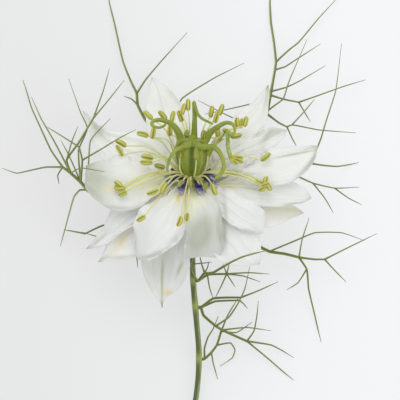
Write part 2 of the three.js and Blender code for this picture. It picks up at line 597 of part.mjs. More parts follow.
// Stamens: rows of [anther centre, direction it points to, in degrees seen from above]
const STAMENS = [
  [-8.6, 13.0, -2.6, 135], [-5.7, 12.9, -1.8, 130], [-3.7, 12.7, -1.2, 78], [-2.2, 12.8, -2.6, 110],
  [-1.6, 14.2, -2.0, 75], [-0.6, 15.1, -2.8, 90], [4.1, 13.7, -2.0, 80], [6.0, 14.1, -2.6, 70],
  [5.1, 12.6, -1.0, 75], [9.2, 11.8, -1.4, 90], [10.1, 12.2, -2.4, 92], [11.0, 11.8, -0.8, 88],
  [7.4, 9.6, 1.4, 150], [9.0, 8.9, 0.4, 10], [5.4, 9.6, 0.2, 90], [-4.2, 10.0, 0.4, 90],
  [-9.6, 9.1, -0.4, 165], [-7.6, 9.5, 1.4, 150], [-13.3, 7.5, 0.6, 160], [-14.4, 5.8, 1.2, 110],
  [-8.7, 4.5, 3.4, 170], [-8.8, 3.0, 4.6, 175], [-14.8, -1.0, 3.6, 160], [-14.0, -1.9, 4.0, 200],
  [-14.8, -2.6, 3.6, 190], [-13.8, -3.2, 4.4, 230], [-7.6, -2.4, 6.6, 200], [-5.4, -1.6, 5.8, 60],
  [8.8, 3.6, 4.4, 0], [9.4, 4.2, 2.8, 10], [9.4, 3.0, 3.4, -5], [14.9, 4.6, 1.8, 40],
  [13.0, -0.6, 3.2, -20], [15.0, -0.2, 2.6, 10], [15.8, -1.4, 3.0, -40], [14.2, -2.0, 3.6, -10],
  [-9.9, -7.7, 7.2, 215], [-2.3, -8.3, 9.7, 255], [-0.4, -7.7, 9.4, 300], [4.6, -1.9, 8.4, 290],
];
const STAMEN_DISC = [1.9, 1.1, 1.65];
const ANTHER_STATIONS = [0, 0.25, 0.75, 1];
const ANTHER_SWELL = [0.5, 1, 0.9, 0.35];

function stamen([x, y, z, pointing]) {
  const anther = new THREE.Vector3(x, y, z);
  const azimuth = Math.atan2(anther.dot(BACK), anther.dot(SIDE));
  const reach = Math.hypot(anther.dot(BACK), anther.dot(SIDE));
  const height = anther.dot(AXIS);
  const turn = THREE.MathUtils.degToRad(pointing);
  const heading = new THREE.Vector3(Math.cos(turn), Math.sin(turn), -0.15).normalize();
  const foot = anther.clone().addScaledVector(heading, -ANTHER_LENGTH / 2);
  const line = [
    around(azimuth, 1.5, 1.4),
    around(azimuth, 3.1, 2.1 + 0.08 * height),
    around(azimuth, Math.max(reach * 0.62, 4.2), 2.0 + 0.66 * height),
    foot.clone().addScaledVector(heading, 0.4),
  ];
  const stalk = tube(line, taper(FILAMENT_RADIUS, FILAMENT_RADIUS * 0.9), 4, 1);
  const body = tube(
    ANTHER_STATIONS.map((share) => foot.clone().addScaledVector(heading, share * ANTHER_LENGTH)),
    stepped(ANTHER_SWELL.map((swell) => swell * ANTHER_RADIUS)),
    5,
    1,
  );
  return [solid(stalk), solid(body)];
}

function stamens() {
  return whole([disc(...STAMEN_DISC), ...STAMENS.flatMap(stamen)]);
}
add("stamens", stamens(), materials.stamen);

export default flower;
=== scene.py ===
"""A cut white nigella flower with its young seed pod, laid on a pale surface and seen from above."""
import math

import bpy
import numpy as np
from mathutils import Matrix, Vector


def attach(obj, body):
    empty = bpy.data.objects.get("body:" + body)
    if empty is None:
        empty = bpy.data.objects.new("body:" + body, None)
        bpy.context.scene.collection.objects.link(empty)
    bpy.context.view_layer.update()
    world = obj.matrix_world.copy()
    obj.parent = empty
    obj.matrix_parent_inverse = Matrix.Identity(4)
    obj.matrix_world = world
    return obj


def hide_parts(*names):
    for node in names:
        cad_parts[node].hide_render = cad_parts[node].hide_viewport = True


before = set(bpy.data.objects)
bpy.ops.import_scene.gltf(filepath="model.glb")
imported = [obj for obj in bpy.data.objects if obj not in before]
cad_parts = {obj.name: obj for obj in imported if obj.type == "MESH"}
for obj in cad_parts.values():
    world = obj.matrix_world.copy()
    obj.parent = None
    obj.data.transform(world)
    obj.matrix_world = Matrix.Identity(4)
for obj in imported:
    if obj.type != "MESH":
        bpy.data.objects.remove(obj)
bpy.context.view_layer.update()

MM = 0.001

# The flower's centre in the model's frame, in millimetres. Every place below is measured from it.
FLOWER_CENTRE = np.array([0.3, 8.05, 16.0])
FLOOR = -FLOWER_CENTRE[2]
POD_TILT_DEG = 28
POD_LEAN = 0.03
STEM_RADIUS = 0.56
STEM_TOP = -2.3
INVOLUCRE_DROP = 3.2
BRACT_ROOT_RADIUS = 1.9
CLAW_REACH = 4.2
CLAW_END = 0.42
WHORL_LEVEL = [-0.6, -1.1, -1.6]
SEPAL_FACING = np.array([0, 0.3, 1.0])
WAVE_HEIGHT = 0.45
WAVES = 2.5
ANTHER_LENGTH = 2.5
ANTHER_RADIUS = 0.58
FILAMENT_RADIUS = 0.17
NECTARY_COUNT = 8
# Painted glow: how strongly the floor emits its own colour, though it is no lamp
FLOOR_GLOW = 0.6
FLOOR_SHARE = 0.36
FRAME_SEED = (0.31, 0.17, 0.93)
NOISE_ROUGHNESS = 0.55


def unit(v):
    return v / np.linalg.norm(v)


# The flower's own axes: along the pod, to the right, and to the back, which faces the surface
tilt = math.radians(POD_TILT_DEG)
AXIS = unit(np.array([POD_LEAN, math.cos(tilt), math.sin(tilt)]))
BACK = np.array([0, math.sin(tilt), -math.cos(tilt)])
SIDE = unit(np.cross(BACK, AXIS))


def around(azimuth, radius, along):
    """A point at an azimuth round the flower's axis, at a radius and a distance along it."""
    return radius * math.cos(azimuth) * SIDE + radius * math.sin(azimuth) * BACK + along * AXIS


def smoothstep(x, low, high):
    t = np.clip((np.asarray(x, float) - low) / (high - low), 0, 1)
    return t * t * (3 - 2 * t)


def bump(x, centre, width):
    return np.exp(-(((np.asarray(x, float) - centre) / width) ** 2))


def turns(count):
    """Angles evenly round a circle, from 0."""
    return np.linspace(0, 2 * math.pi, count + 1)[:-1]


def capped(rings):
    """Rings of points with one more at each end, drawn in to the end ring's middle."""
    caps = [np.broadcast_to(rings[i].mean(axis=0), (1, *rings[i].shape)) for i in (0, -1)]
    return np.concatenate([caps[0], rings, caps[1]])


class Curve:
    """A centripetal Catmull-Rom curve through points. A pull under 1 straightens it between them."""

    def __init__(self, points, pull=1.0):
        self.points = np.array(points, float)
        self.pull = pull
        first = 2 * self.points[0] - self.points[1]
        last = 2 * self.points[-1] - self.points[-2]
        self.padded = np.vstack([first, self.points, last])
        shares = np.linspace(0, 1, 241)
        steps = np.linalg.norm(np.diff(self.at(shares), axis=0), axis=1)
        self.lengths = np.concatenate([[0], np.cumsum(steps)])
        self.shares = shares
        self.length = self.lengths[-1]

    def at(self, shares):
        """Points at shares of the count of control points."""
        spans = len(self.points) - 1
        place = np.clip(np.asarray(shares, float), 0, 1) * spans
        k = np.minimum(place.astype(int), spans - 1)
        w = (place - k)[:, None]
        p0, p1, p2, p3 = (self.padded[k + i] for i in range(4))
        d0, d1, d2 = (
            np.maximum(np.linalg.norm(b - a, axis=1), 1e-6)[:, None] ** 0.5
            for a, b in ((p0, p1), (p1, p2), (p2, p3))
        )
        m1 = ((p1 - p0) / d0 - (p2 - p0) / (d0 + d1) + (p2 - p1) / d1) * d1
        m2 = ((p2 - p1) / d1 - (p3 - p1) / (d1 + d2) + (p3 - p2) / d2) * d1
        m1 = m1 * self.pull + (p2 - p1) * (1 - self.pull)
        m2 = m2 * self.pull + (p2 - p1) * (1 - self.pull)
        cubic = 2 * (p1 - p2) + m1 + m2
        square = 3 * (p2 - p1) - 2 * m1 - m2
        return p1 + m1 * w + square * w**2 + cubic * w**3

    def even(self, shares):
        """Points at shares of the curve's length."""
        return self.at(np.interp(np.asarray(shares) * self.length, self.lengths, self.shares))


def frames(line):
    """Tangents and two cross directions along a line of points, turned as little as can be."""
    along = np.gradient(line, axis=0)
    along /= np.linalg.norm(along, axis=1)[:, None]
    across = np.empty_like(line)
    last = np.array(FRAME_SEED)
    for i, t in enumerate(along):
        last = unit(last - t * (last @ t))
        across[i] = last
    return along, across, np.cross(along, across)


class Shape:
    """Vertices, faces, UVs and a tone from 0 to 1, gathered for one piece. Units are millimetres."""

    def __init__(self):
        self.verts = []
        self.faces = []
        self.uvs = []
        self.tones = []
        self.count = 0

    def add(self, verts, faces, uvs, tone):
        """Adds a patch. uvs holds one pair for each corner of each face."""
        self.verts.append(np.asarray(verts, float))
        self.faces += [tuple(i + self.count for i in face) for face in faces]
        self.uvs += uvs
        self.tones.append(np.broadcast_to(np.asarray(tone, float), (len(verts),)))
        self.count += len(verts)

    def object(self, name, material):
        mesh = bpy.data.meshes.new(name)
        places = (np.vstack(self.verts) + FLOWER_CENTRE) * MM
        places[:, 2] = np.maximum(places[:, 2], 0)
        mesh.from_pydata(places.tolist(), [], self.faces)
        layer = mesh.uv_layers.new(name="UVMap")
        layer.data.foreach_set("uv", np.array(self.uvs, np.float32).ravel())
        tone = mesh.attributes.new("tone", "FLOAT", "POINT")
        tone.data.foreach_set("value", np.concatenate(self.tones).astype(np.float32))
        mesh.materials.append(material)
        mesh.polygons.foreach_set("use_smooth", [True] * len(mesh.polygons))
        mesh.update()
        piece = bpy.data.objects.new(name, mesh)
        bpy.context.scene.collection.objects.link(piece)
        return piece


def lattice(shape, rings, tone, lengths, flip=False):
    """Adds a skin over closed rings of points."""
    rows, sides = rings.shape[:2]
    faces = []
    uvs = []
    for i in range(rows - 1):
        for j in range(sides):
            k = (j + 1) % sides
            face = (i * sides + j, i * sides + k, (i + 1) * sides + k, (i + 1) * sides + j)
            corners = [
                (j / sides, lengths[i]),
                ((j + 1) / sides, lengths[i]),
                ((j + 1) / sides, lengths[i + 1]),
                (j / sides, lengths[i + 1]),
            ]
            faces.append(face[::-1] if flip else face)
            uvs += corners[::-1] if flip else corners
    shape.add(rings.reshape(-1, 3), faces, uvs, tone)


def tube(shape, points, radius, sides, step, tone=0.5, section=None, pull=1.0):
    """Adds a round tube along a curve. radius takes a share of its points. section gives a factor
    for angles round it and shares along it."""
    curve = Curve(points, pull)
    spans = len(points) - 1
    each = max(2, int(round(curve.length / step / spans)))
    shares = np.linspace(0, 1, spans * each + 1)
    line = curve.at(shares)
    _, across, over = frames(line)
    angles = (np.arange(sides) + 0.5) / sides * 2 * math.pi
    radii = np.array([radius(s) for s in shares])[:, None]
    factor = section(angles[None, :], shares[:, None]) if section else 1.0
    reach = (radii * factor * np.ones((1, sides)))[:, :, None]
    rings = (
        line[:, None, :]
        + reach * np.cos(angles)[None, :, None] * across[:, None, :]
        + reach * np.sin(angles)[None, :, None] * over[:, None, :]
    )
    lengths = shares * curve.length
    tones = tone(shares) if callable(tone) else np.full(len(shares), float(tone))
    for end in (0, -1):
        cap = (line[end] + (rings[end] - line[end]) * 0.02)[None]
        rings = np.concatenate([cap, rings] if end == 0 else [rings, cap])
        lengths = np.insert(lengths, 0, lengths[0]) if end == 0 else np.append(lengths, lengths[-1])
        tones = np.insert(tones, 0, tones[0]) if end == 0 else np.append(tones, tones[-1])
    lattice(shape, rings, np.repeat(tones, sides), lengths)


# The stem's line, from the cut end on the surface up behind the flower
STEM_LINE = [
    [-1.2, -56, FLOOR + 0.6],
    [-0.2, -50, FLOOR + 1.1],
    [1.0, -44, FLOOR + 1.9],
    [1.6, -36, FLOOR + 3.3],
    [1.05, -28, FLOOR + 5.1],
    [0.4, -20, FLOOR + 7.6],
    [0.3, -14, FLOOR + 9.8],
    [0.1, -8, FLOOR + 12.2],
]

# Bracts and leaves: each an azimuth or a root, then its threads as (start radius, end radius, points).
# A thread's first point is "root", a point, or (thread, point) of a thread above it in the same table.
BRACTS = {}
BRACTS["bract_upper_left"] = 118, [
    (0.5, 0.36, "root", (-5.2, 6, -7.4), (-9.6, 12.8, -10.6), (-10.8, 15.2, -11.6), (-11, 17.6, -12.4)),
    (0.36, 0.16, (0, 4), (-12.2, 20, -13.2), (-13.8, 24, -14.2), (-15.6, 32, -15.4), (-16.6, 36, -15.93),
     (-17.2, 40, -15.93)),
    (0.32, 0.15, (0, 4), (-9.2, 20.4, -13), (-6.2, 24, -13.8), (-0.8, 30, -15)),
    (0.28, 0.15, (0, 3), (-12, 16.4, -11.4), (-13.6, 17, -10.8)),
    (0.32, 0.15, (0, 1), (-3.8, 13, -11), (-1.8, 16.6, -12.4), (4.8, 20.8, -13.6), (10.8, 23.8, -14.4)),
]
BRACTS["bract_upper_right"] = 52, [
    (0.55, 0.4, "root", (7.8, 6, -8.2), (14.2, 10.4, -11), (15.4, 14, -12), (16.2, 18, -12.8)),
    (0.4, 0.3, (0, 4), (17, 22.4, -13.6), (17.2, 24, -14), (16.8, 28, -14.6), (16.2, 32, -15.6),
     (16, 36, -15.84), (16.2, 39.6, -15.84)),
    (0.3, 0.15, (1, 2), (19.8, 26.4, -14.2), (21.8, 28, -14.4), (25.8, 32.8, -14.9), (30.2, 37.6, -15.4)),
    (0.28, 0.15, (1, 1), (19, 23, -13.4), (21.8, 24.8, -13.2), (26.2, 27.6, -12.8)),
    (0.28, 0.15, (0, 4), (19.2, 18.8, -12.4), (21.8, 20, -12), (27.2, 23.2, -11.2)),
    (0.3, 0.22, (16.2, 17.2, -12.7), (18.8, 16.4, -12.8), (21.8, 15.8, -13)),
    (0.24, 0.15, (5, 2), (25.8, 17.2, -13.6), (30.8, 19, -14.2), (35.4, 20.4, -14.8)),
    (0.22, 0.15, (5, 2), (23, 13.8, -13.6), (24.2, 11.8, -14.2)),
    (0.28, 0.15, (0, 3), (17, 15.2, -11.4), (18.6, 16.4, -10.8), (19.8, 20, -10.2), (23.4, 28.4, -9.4)),
    (0.32, 0.22, (15.4, 13.4, -11.9), (17.8, 11.6, -11.8), (19.4, 10.8, -11.8)),
    (0.26, 0.15, (9, 2), (20.4, 11.2, -11.9), (25.8, 10.2, -12.4), (33.4, 9.6, -13.2)),
    (0.22, 0.15, (10, 1), (22.8, 13.8, -12.2), (25, 16.4, -12.6)),
    (0.22, 0.15, (9, 2), (20.4, 8.6, -12.6), (21.4, 6.8, -13.2)),
    (0.24, 0.15, (16, 17, -12.6), (14.2, 16.4, -12.6), (11.8, 15.4, -12.8), (6.6, 14.2, -13.2),
     (2.8, 13.4, -13.6)),
    (0.24, 0.15, (0, 2), (9.8, 12, -12), (6.4, 13.6, -12.8), (1.4, 16.2, -13.8)),
]
BRACTS["bract_left"] = 182, [
    (0.55, 0.5, "root", (-8.2, -3.4, -6.4), (-16.2, -4.4, -6.4), (-19.2, -3.2, -5.6), (-20.8, -2, -5)),
    (0.5, 0.36, (0, 4), (-22.2, -0.4, -4.6), (-24.2, 1.4, -4.4), (-25.8, 2.6, -4.4)),
    (0.3, 0.15, (1, 3), (-28.2, 6, -6.6), (-30.6, 11, -10), (-32.4, 14.8, -13.6), (-33.4, 18, -15.93),
     (-34.2, 20.4, -15.93)),
    (0.28, 0.15, (1, 2), (-27.4, 7.6, -5), (-30.2, 12.4, -6.4), (-32.2, 16.8, -8)),
    (0.3, 0.15, (1, 3), (-29.2, 2.6, -5.4), (-32.2, 2, -7), (-35.2, 1.4, -9.2), (-38.2, 2.4, -11.6)),
    (0.26, 0.15, (1, 3), (-26.8, 1, -5.6), (-26.6, -0.8, -7.4)),
    (0.32, 0.24, (1, 2), (-25, 4, -3.6), (-22.6, 7.4, -3), (-20.8, 10.4, -2.8), (-19.6, 12.4, -2.8)),
    (0.24, 0.14, (6, 4), (-17.6, 18, -3.6), (-16.4, 22.4, -4.6)),
    (0.24, 0.14, (6, 4), (-16.6, 16, -2.6), (-13.4, 20, -2.6)),
    (0.28, 0.14, (1, 1), (-22.6, 6, -4), (-20.8, 10.4, -3.4), (-22.2, 13.6, -4), (-24.6, 20.4, -5.4)),
    (0.24, 0.14, (6, 1), (-23.8, 8, -2), (-22.6, 10.8, -1)),
    (0.3, 0.24, (1, 1), (-21.8, 4, -2), (-22.4, 6.6, -1.6)),
    (0.24, 0.14, (11, 2), (-26.2, 9, -2.4), (-29.2, 10.8, -3.4)),
    (0.26, 0.14, (11, 1), (-18.2, 6, 1), (-14.2, 8.4, 2.8), (-11, 10, 3.8)),
    (0.26, 0.14, (0, 4), (-20.6, 3.4, -4.4), (-20.2, 8, -5), (-18.2, 10.4, -5.6), (-16.2, 12.4, -6.2)),
    (0.24, 0.14, (1, 2), (-21.8, 2.4, 2), (-17.2, 1.6, 4)),
    (0.24, 0.14, (1, 1), (-24.4, 4.6, -6), (-26.2, 8, -7.4)),
    (0.3, 0.15, (0, 4), (-22.4, -2, -6.4), (-23.6, -3.4, -8), (-24.6, -6.6, -10.6), (-25.6, -10, -14),
     (-26.2, -12, -15.93), (-26.6, -13.4, -15.93)),
]
BRACTS["bract_lower_left"] = 224, [
    (0.36, 0.22, "root", (-5.2, -5.4, -7.4), (-12.2, -8, -9.2), (-18, -9.2, -10.4),
     (-21.4, -10.8, -11.2)),
    (0.28, 0.15, (0, 4), (-24.2, -10.3, -12), (-25.8, -10, -13)),
    (0.26, 0.15, (0, 2), (-15.8, -10.8, -10.4), (-18.8, -11.4, -11.2), (-21.8, -10.6, -12.2)),
    (0.26, 0.15, (0, 2), (-11.8, -12, -11.2), (-11, -15.6, -12.6), (-10.8, -17.7, -13.4)),
]
BRACTS["bract_right"] = 2, [
    (0.5, 0.34, "root", (9.8, -0.6, -7.4), (19.8, 1.6, -9.2), (24.2, 3.4, -9.8)),
    (0.3, 0.15, (0, 3), (26.8, 3, -10.8), (29.6, 2.8, -12.8), (32.2, 3.2, -15.93), (34, 3.6, -15.93)),
    (0.28, 0.14, (0, 3), (26.2, 8.4, -9.6), (27.4, 12.4, -9.6), (29.2, 18, -9.8), (30.4, 27.6, -10.4)),
    (0.28, 0.15, (0, 2), (24.6, -0.6, -9.6), (29, -1.6, -10.2), (34, -1.4, -11)),
    (0.22, 0.14, (3, 2), (31.8, -3.6, -11), (34.6, -5, -12)),
    (0.22, 0.14, (3, 1), (27, -3.6, -10.6), (28.8, -6.6, -11.8)),
]
BRACTS["bract_lower_right"] = 322, [
    (0.5, 0.36, "root", (7, -7, -7.4), (12.4, -12.6, -9.4), (15.8, -14.4, -10), (19, -14.9, -10.4),
     (21.8, -15.6, -10.8)),
    (0.32, 0.15, (0, 5), (23.4, -18, -11.6), (23.8, -22, -12.8), (25, -27, -14.8), (25.8, -30.4, -15.93),
     (26.4, -32.8, -15.93)),
    (0.32, 0.24, (0, 5), (25, -16, -11), (27, -16, -11.2)),
    (0.26, 0.15, (2, 2), (31.4, -13.8, -11.6), (37.6, -10.8, -12.6)),
    (0.24, 0.15, (2, 2), (29, -18.2, -11.8), (31.4, -20.6, -12.8)),
    (0.26, 0.15, (0, 3), (20.6, -12.4, -10), (25, -10.6, -9.8), (30.4, -10.6, -9.8), (35, -12.2, -10.4)),
    (0.24, 0.14, (0, 5), (22.4, -12, -9.2), (23.8, -7.6, -8)),
    (0.24, 0.14, (1, 1), (21.6, -20.8, -12.4), (19.4, -22.2, -13.4)),
]

LEAVES = {}
LEAVES["leaf_upper"] = (1.45, -20.3, -8.3), [
    (0.36, 0.34, "root", (2.7, -18.7, -6), (3.4, -18.7, -3.8), (4.5, -18.5, -0.8), (6.4, -17.3, 3.4)),
    (0.34, 0.2, (0, 4), (8.3, -16.2, 4.4), (10.3, -15.3, 4.8), (12.7, -14.6, 4.6), (15, -14.1, 4.2)),
    (0.28, 0.15, (0, 1), (2.1, -16.8, -6.4), (1.7, -15, -6.6)),
    (0.24, 0.15, (0, 1), (3.3, -17.6, -6.2), (3.6, -16.4, -6.4)),
    (0.3, 0.22, "root", (0.9, -19.6, -7.1), (0.25, -18.4, -6.4), (0.1, -16.9, -5.8), (0.5, -15, -5)),
    (0.2, 0.15, (4, 3), (2.4, -16.7, -5.8), (4.1, -16.5, -5.8)),
    (0.36, 0.28, "root", (3.3, -19.1, -9.4), (7.2, -18.95, -11)),
    (0.26, 0.15, (6, 2), (11.5, -18.7, -12), (15.8, -19, -12.9)),
    (0.24, 0.15, (6, 2), (10.6, -19.4, -12.6), (14, -20.6, -13.8)),
    (0.22, 0.15, (6, 2), (7.5, -17.8, -10.6), (7.7, -16.9, -10.2)),
    (0.22, 0.15, (6, 2), (6.8, -17.9, -10.6), (6.4, -17, -10.2)),
    (0.22, 0.15, (6, 2), (8, -20.2, -12.2), (8.9, -21.6, -13.2)),
    (0.24, 0.15, (6, 2), (6.1, -21.4, -11.6), (4.8, -24, -12.2)),
    (0.24, 0.15, (6, 1), (3.7, -21.6, -10.2), (4.4, -23.8, -11)),
]
LEAVES["leaf_middle"] = (1.95, -25.7, -10.2), [
    (0.38, 0.28, "root", (4.4, -23.9, -9.6), (7, -23.7, -9.8), (10, -23.7, -9.8)),
    (0.28, 0.15, (0, 3), (13.4, -22.4, -9.8), (17.6, -20.5, -10)),
    (0.32, 0.24, "root", (4.9, -24.5, -11.4), (9.8, -24.3, -12.2)),
    (0.24, 0.15, (2, 2), (10.6, -25, -12.4), (11.4, -26, -12.8)),
    (0.4, 0.34, "root", (2.5, -27.3, -10.8), (5, -29.5, -11.6), (6.3, -30.3, -12), (11.3, -32.6, -13.2)),
    (0.3, 0.15, (4, 2), (7.6, -27.7, -10.8), (9.4, -25, -8.4), (10.8, -22, -7), (11.8, -17.5, -6.2)),
    (0.26, 0.15, (4, 3), (11.3, -29.8, -12.4), (16.2, -30.5, -13)),
    (0.3, 0.15, (4, 4), (16.2, -33.4, -14.2), (18.2, -34.4, -14.8), (20.8, -36, -15.8)),
    (0.28, 0.15, (4, 4), (15.4, -36, -14.6), (18.6, -38.8, -15.93), (20.8, -40.6, -15.93)),
    (0.28, 0.15, (4, 4), (12.7, -30.6, -13), (13.3, -27.6, -12.4), (13.6, -24.4, -11.8)),
]
LEAVES["leaf_lower"] = (2.65, -36.2, -12.9), [
    (0.36, 0.3, "root", (4.1, -34.9, -13.2), (5.2, -33.4, -13.4), (6.1, -30.6, -13.8)),
    (0.28, 0.15, (0, 3), (7.4, -27.4, -14.2), (9.6, -23.8, -14.8)),
    (0.3, 0.18, "root", (2.7, -34, -12.6), (3.4, -31.8, -12.6), (4.4, -30.2, -12.9), (5.5, -27.6, -13.2)),
    (0.26, 0.15, (0, 2), (8, -33, -14.2), (8.9, -34.4, -14.8), (8.4, -36, -15.2), (5.8, -37.8, -15.8)),
    (0.24, 0.15, (0, 3), (9.2, -30.9, -14.8), (12.4, -28.8, -15.6)),
    (0.24, 0.15, (0, 1), (4.5, -37.2, -14.4), (5.4, -40.4, -15.8)),
]

# The pod's horns, from its shoulders out to their curled ends
HORNS = [
    [(-1.9, 7.9, 3.2), (-2.4, 9.3, 3.9), (-3.1, 10.4, 4.5), (-3.9, 11.2, 4.8), (-5.1, 11.7, 5),
     (-6.4, 11.95, 5.1), (-7.6, 11.6, 5.2), (-7.8, 11, 5.4), (-7.2, 10.55, 5.6), (-6.2, 10.4, 5.8),
     (-5.3, 10.8, 6), (-4.8, 11.4, 6.2)],
    [(0.6, 8, 1.6), (0.65, 9.4, 2), (0.7, 11, 2.6), (0.75, 12.7, 3.1), (0.65, 14.3, 3.5),
     (0.6, 15.45, 3.7), (1.05, 13.9, 4.2), (1.6, 12.8, 4.5), (2.4, 12.1, 4.7), (3.4, 11.6, 4.8),
     (4.4, 11.1, 4.8)],
    [(3, 8, 3.2), (3.7, 9.2, 3.8), (4.5, 10, 4.3), (5.4, 10.6, 4.7), (6.2, 11.1, 4.9), (7.2, 11.4, 5.1),
     (8.1, 11.2, 5.3), (8.7, 10.4, 5.5), (8.7, 9.6, 5.8), (8.2, 8.9, 6.2), (7.4, 9.2, 6.6)],
    [(-0.1, 6.6, 6), (-0.9, 6.65, 6.5), (-1.9, 6.45, 7), (-2.8, 6.05, 7.4), (-3.6, 5.2, 7.6),
     (-4.2, 4.2, 7.6), (-4.5, 3.2, 7.4), (-4.7, 2.2, 7.1), (-4.6, 1.5, 6.8)],
    [(1.2, 6.5, 6), (2.1, 6.55, 6.5), (3.2, 6.55, 6.9), (4.4, 6.5, 7.2), (5.25, 5.95, 7.5), (6, 4.9, 7.8),
     (6.45, 3.6, 7.9), (6.5, 2.4, 7.7), (6.1, 1.4, 7.4), (5.4, 0.7, 7.2), (4.8, 0.35, 7)],
]

# Sepals: [azimuth, whorl, cup, crumpling, midrib points out to the tip, half widths at the stations on
# the clockwise side, the same on the other side, [how far these two margins curl under, green of the
# midrib, green of the tip]]
SEPAL_STATIONS = [0.0, 0.16, 0.36, 0.56, 0.74, 0.88, 0.96, 1.0]
SEPALS = [
    [112, 1, 0.8, 1, [[-4, 9.4, -7.4], [-5.8, 14.6, -10.2], [-6.6, 18, -11.4], [-8, 20.9, -12]],
     [0.8, 2.8, 3.9, 3.7, 2.1, 0.8], [0.9, 3.4, 4.5, 3.4, 2.3, 1], [0, 0, 0.4, 0.14]],
    [154, 2, 0.7, 1.3, [[-8.4, 4, -3.6], [-14.2, 6.4, -5.4], [-18.2, 9.2, -6.6], [-21.8, 14, -7.8]],
     [0.9, 3.8, 4.4, 2, 0.9, 0.5], [0.8, 3.2, 4.6, 2.8, 1.1, 0.6], [0.4, 0, 0.1, 0.12]],
    [182, 1, 0.6, 0.9, [[-8.4, -0.8, 0.8], [-14.2, -0.8, 1.8], [-18.4, 0.5, 1.4], [-21, 2.6, -0.6]],
     [1.2, 3.6, 5.8, 5.6, 4.2, 2.2], [1.2, 3.7, 5.5, 4.7, 2.9, 1.4], [0, 1.1, 0.05, 0.15]],
    [209, 0, 0.6, 1.2, [[-6.4, -3.6, 1], [-12.4, -7.6, 0.6], [-16.8, -11, -0.6], [-21, -13.8, -2.4]],
     [0.9, 2.9, 4.6, 2.3, 0.8, 0.4], [0.9, 2.4, 1.9, 1.5, 1.3, 0.5], [0.3, 0.2, 0.08, 0.35]],
    [224, 2, 0.4, 1.2, [[-6.2, -6.2, 0.6], [-12, -11.4, -0.6], [-15.8, -14.6, -1.8], [-18.6, -16.4, -3.6]],
     [0.8, 3.2, 5, 4.1, 2, 0.8], [0.8, 3.2, 5, 3.6, 1.3, 0.5], [0.2, 0.2, 0.08, 0.25]],
    [240, 0, 0.9, 1.5, [[-3.6, -5.6, 4.6], [-7, -10.6, 5], [-9.6, -14, 3.2], [-10.7, -16, 0.8]],
     [1.2, 3.8, 5.4, 3.9, 1.9, 0.9], [1.9, 4.2, 4.8, 3.5, 2.3, 1.2], [0.2, 0.4, 0.03, 0.1]],
    [263, 2, 0.6, 1.2, [[-3.4, -8.6, 2], [-5.2, -14.6, -0.4], [-6, -20.4, -3], [-5.8, -25.6, -5.4]],
     [0.9, 3, 5, 3.8, 1.8, 0.3], [1.2, 3.6, 5.2, 5, 2.9, 0.35], [0.2, 0.3, 0.28, 0.7]],
    [282, 0, 0.7, 0.6,
     [[2.4, -6.2, 6.2], [2.9, -10.8, 6.6], [3.2, -14.2, 5], [3.2, -15.3, 2.4], [2.8, -14.4, 0.4]],
     [2, 3.1, 3.9, 4.7, 4.6, 2.4], [1.5, 3.4, 3.5, 3.3, 3.1, 1.8], [0.5, 0.7, 0, 0]],
    [307, 1, 0.5, 1.2, [[4.8, -5.6, 3.4], [9, -11.2, 2.6], [11.8, -14.8, 0.8], [13.7, -16.9, -0.6]],
     [0.9, 3.4, 6, 5.4, 2.9, 1.2], [0.9, 3.2, 4.8, 4.5, 2.5, 1.1], [0, 0.1, 0.05, 0.1]],
    [329, 0, 0.5, 1, [[6.2, -4, 3.8], [10.2, -7.2, 3.6], [12.6, -9, 2.6], [14.4, -10.6, 1.4]],
     [1, 2.4, 2.9, 2.6, 1.6, 0.8], [1, 2.4, 3.2, 3.7, 3.2, 1.9], [0.1, 0.1, 0.03, 0.05]],
    [343, 2, 0.5, 1, [[9.6, -3.4, -0.6], [16, -5, -2], [20.2, -6.1, -3], [22.6, -6.6, -3.6]],
     [0.8, 3, 4.8, 4.4, 2.1, 0.8], [0.8, 2.2, 2.6, 2, 1.4, 0.8], [0, 0.3, 0.06, 0.15]],
    [352, 1, 0.5, 1.2, [[10.4, -1.4, 0.8], [16.6, -2.4, 0.2], [21.2, -3.2, -0.8], [24, -3.7, -1.6]],
     [0.9, 2.8, 3.7, 2.9, 1.7, 0.8], [0.9, 2.6, 3.3, 3.2, 2.4, 1.2], [0.2, 0, 0.05, 0.1]],
    [12, 2, 0.5, 1.2, [[9.8, 2.4, -0.4], [16.8, 4.2, -0.2], [21.8, 5.6, -1], [25.5, 6.9, -2.2]],
     [1, 3.6, 5.1, 5.4, 3.4, 1.7], [1, 2.6, 2.7, 2.1, 1, 0.5], [0.7, 0.3, 0.12, 0.25]],
    [30, 0, 0.8, 2, [[8.4, 4.6, -1], [14.2, 7.6, -1.6], [17, 9.1, -1.8], [19.2, 10.1, -2.4]],
     [1.2, 3, 3.1, 2.4, 1.7, 0.9], [1.2, 3, 2.7, 2.1, 1.8, 1.1], [0.4, 0.6, 0.03, 0.05]],
    [60, 1, 0.8, 1.4, [[6.8, 7.6, -4.8], [12.1, 12.5, -7.6], [14.3, 16, -8.6], [15.6, 19.2, -9.4]],
     [0.9, 3.1, 3.6, 3.1, 1.4, 0.6], [0.9, 2, 2.4, 2.4, 1.2, 0.5], [0.2, 0.3, 0.14, 0.35]],
]
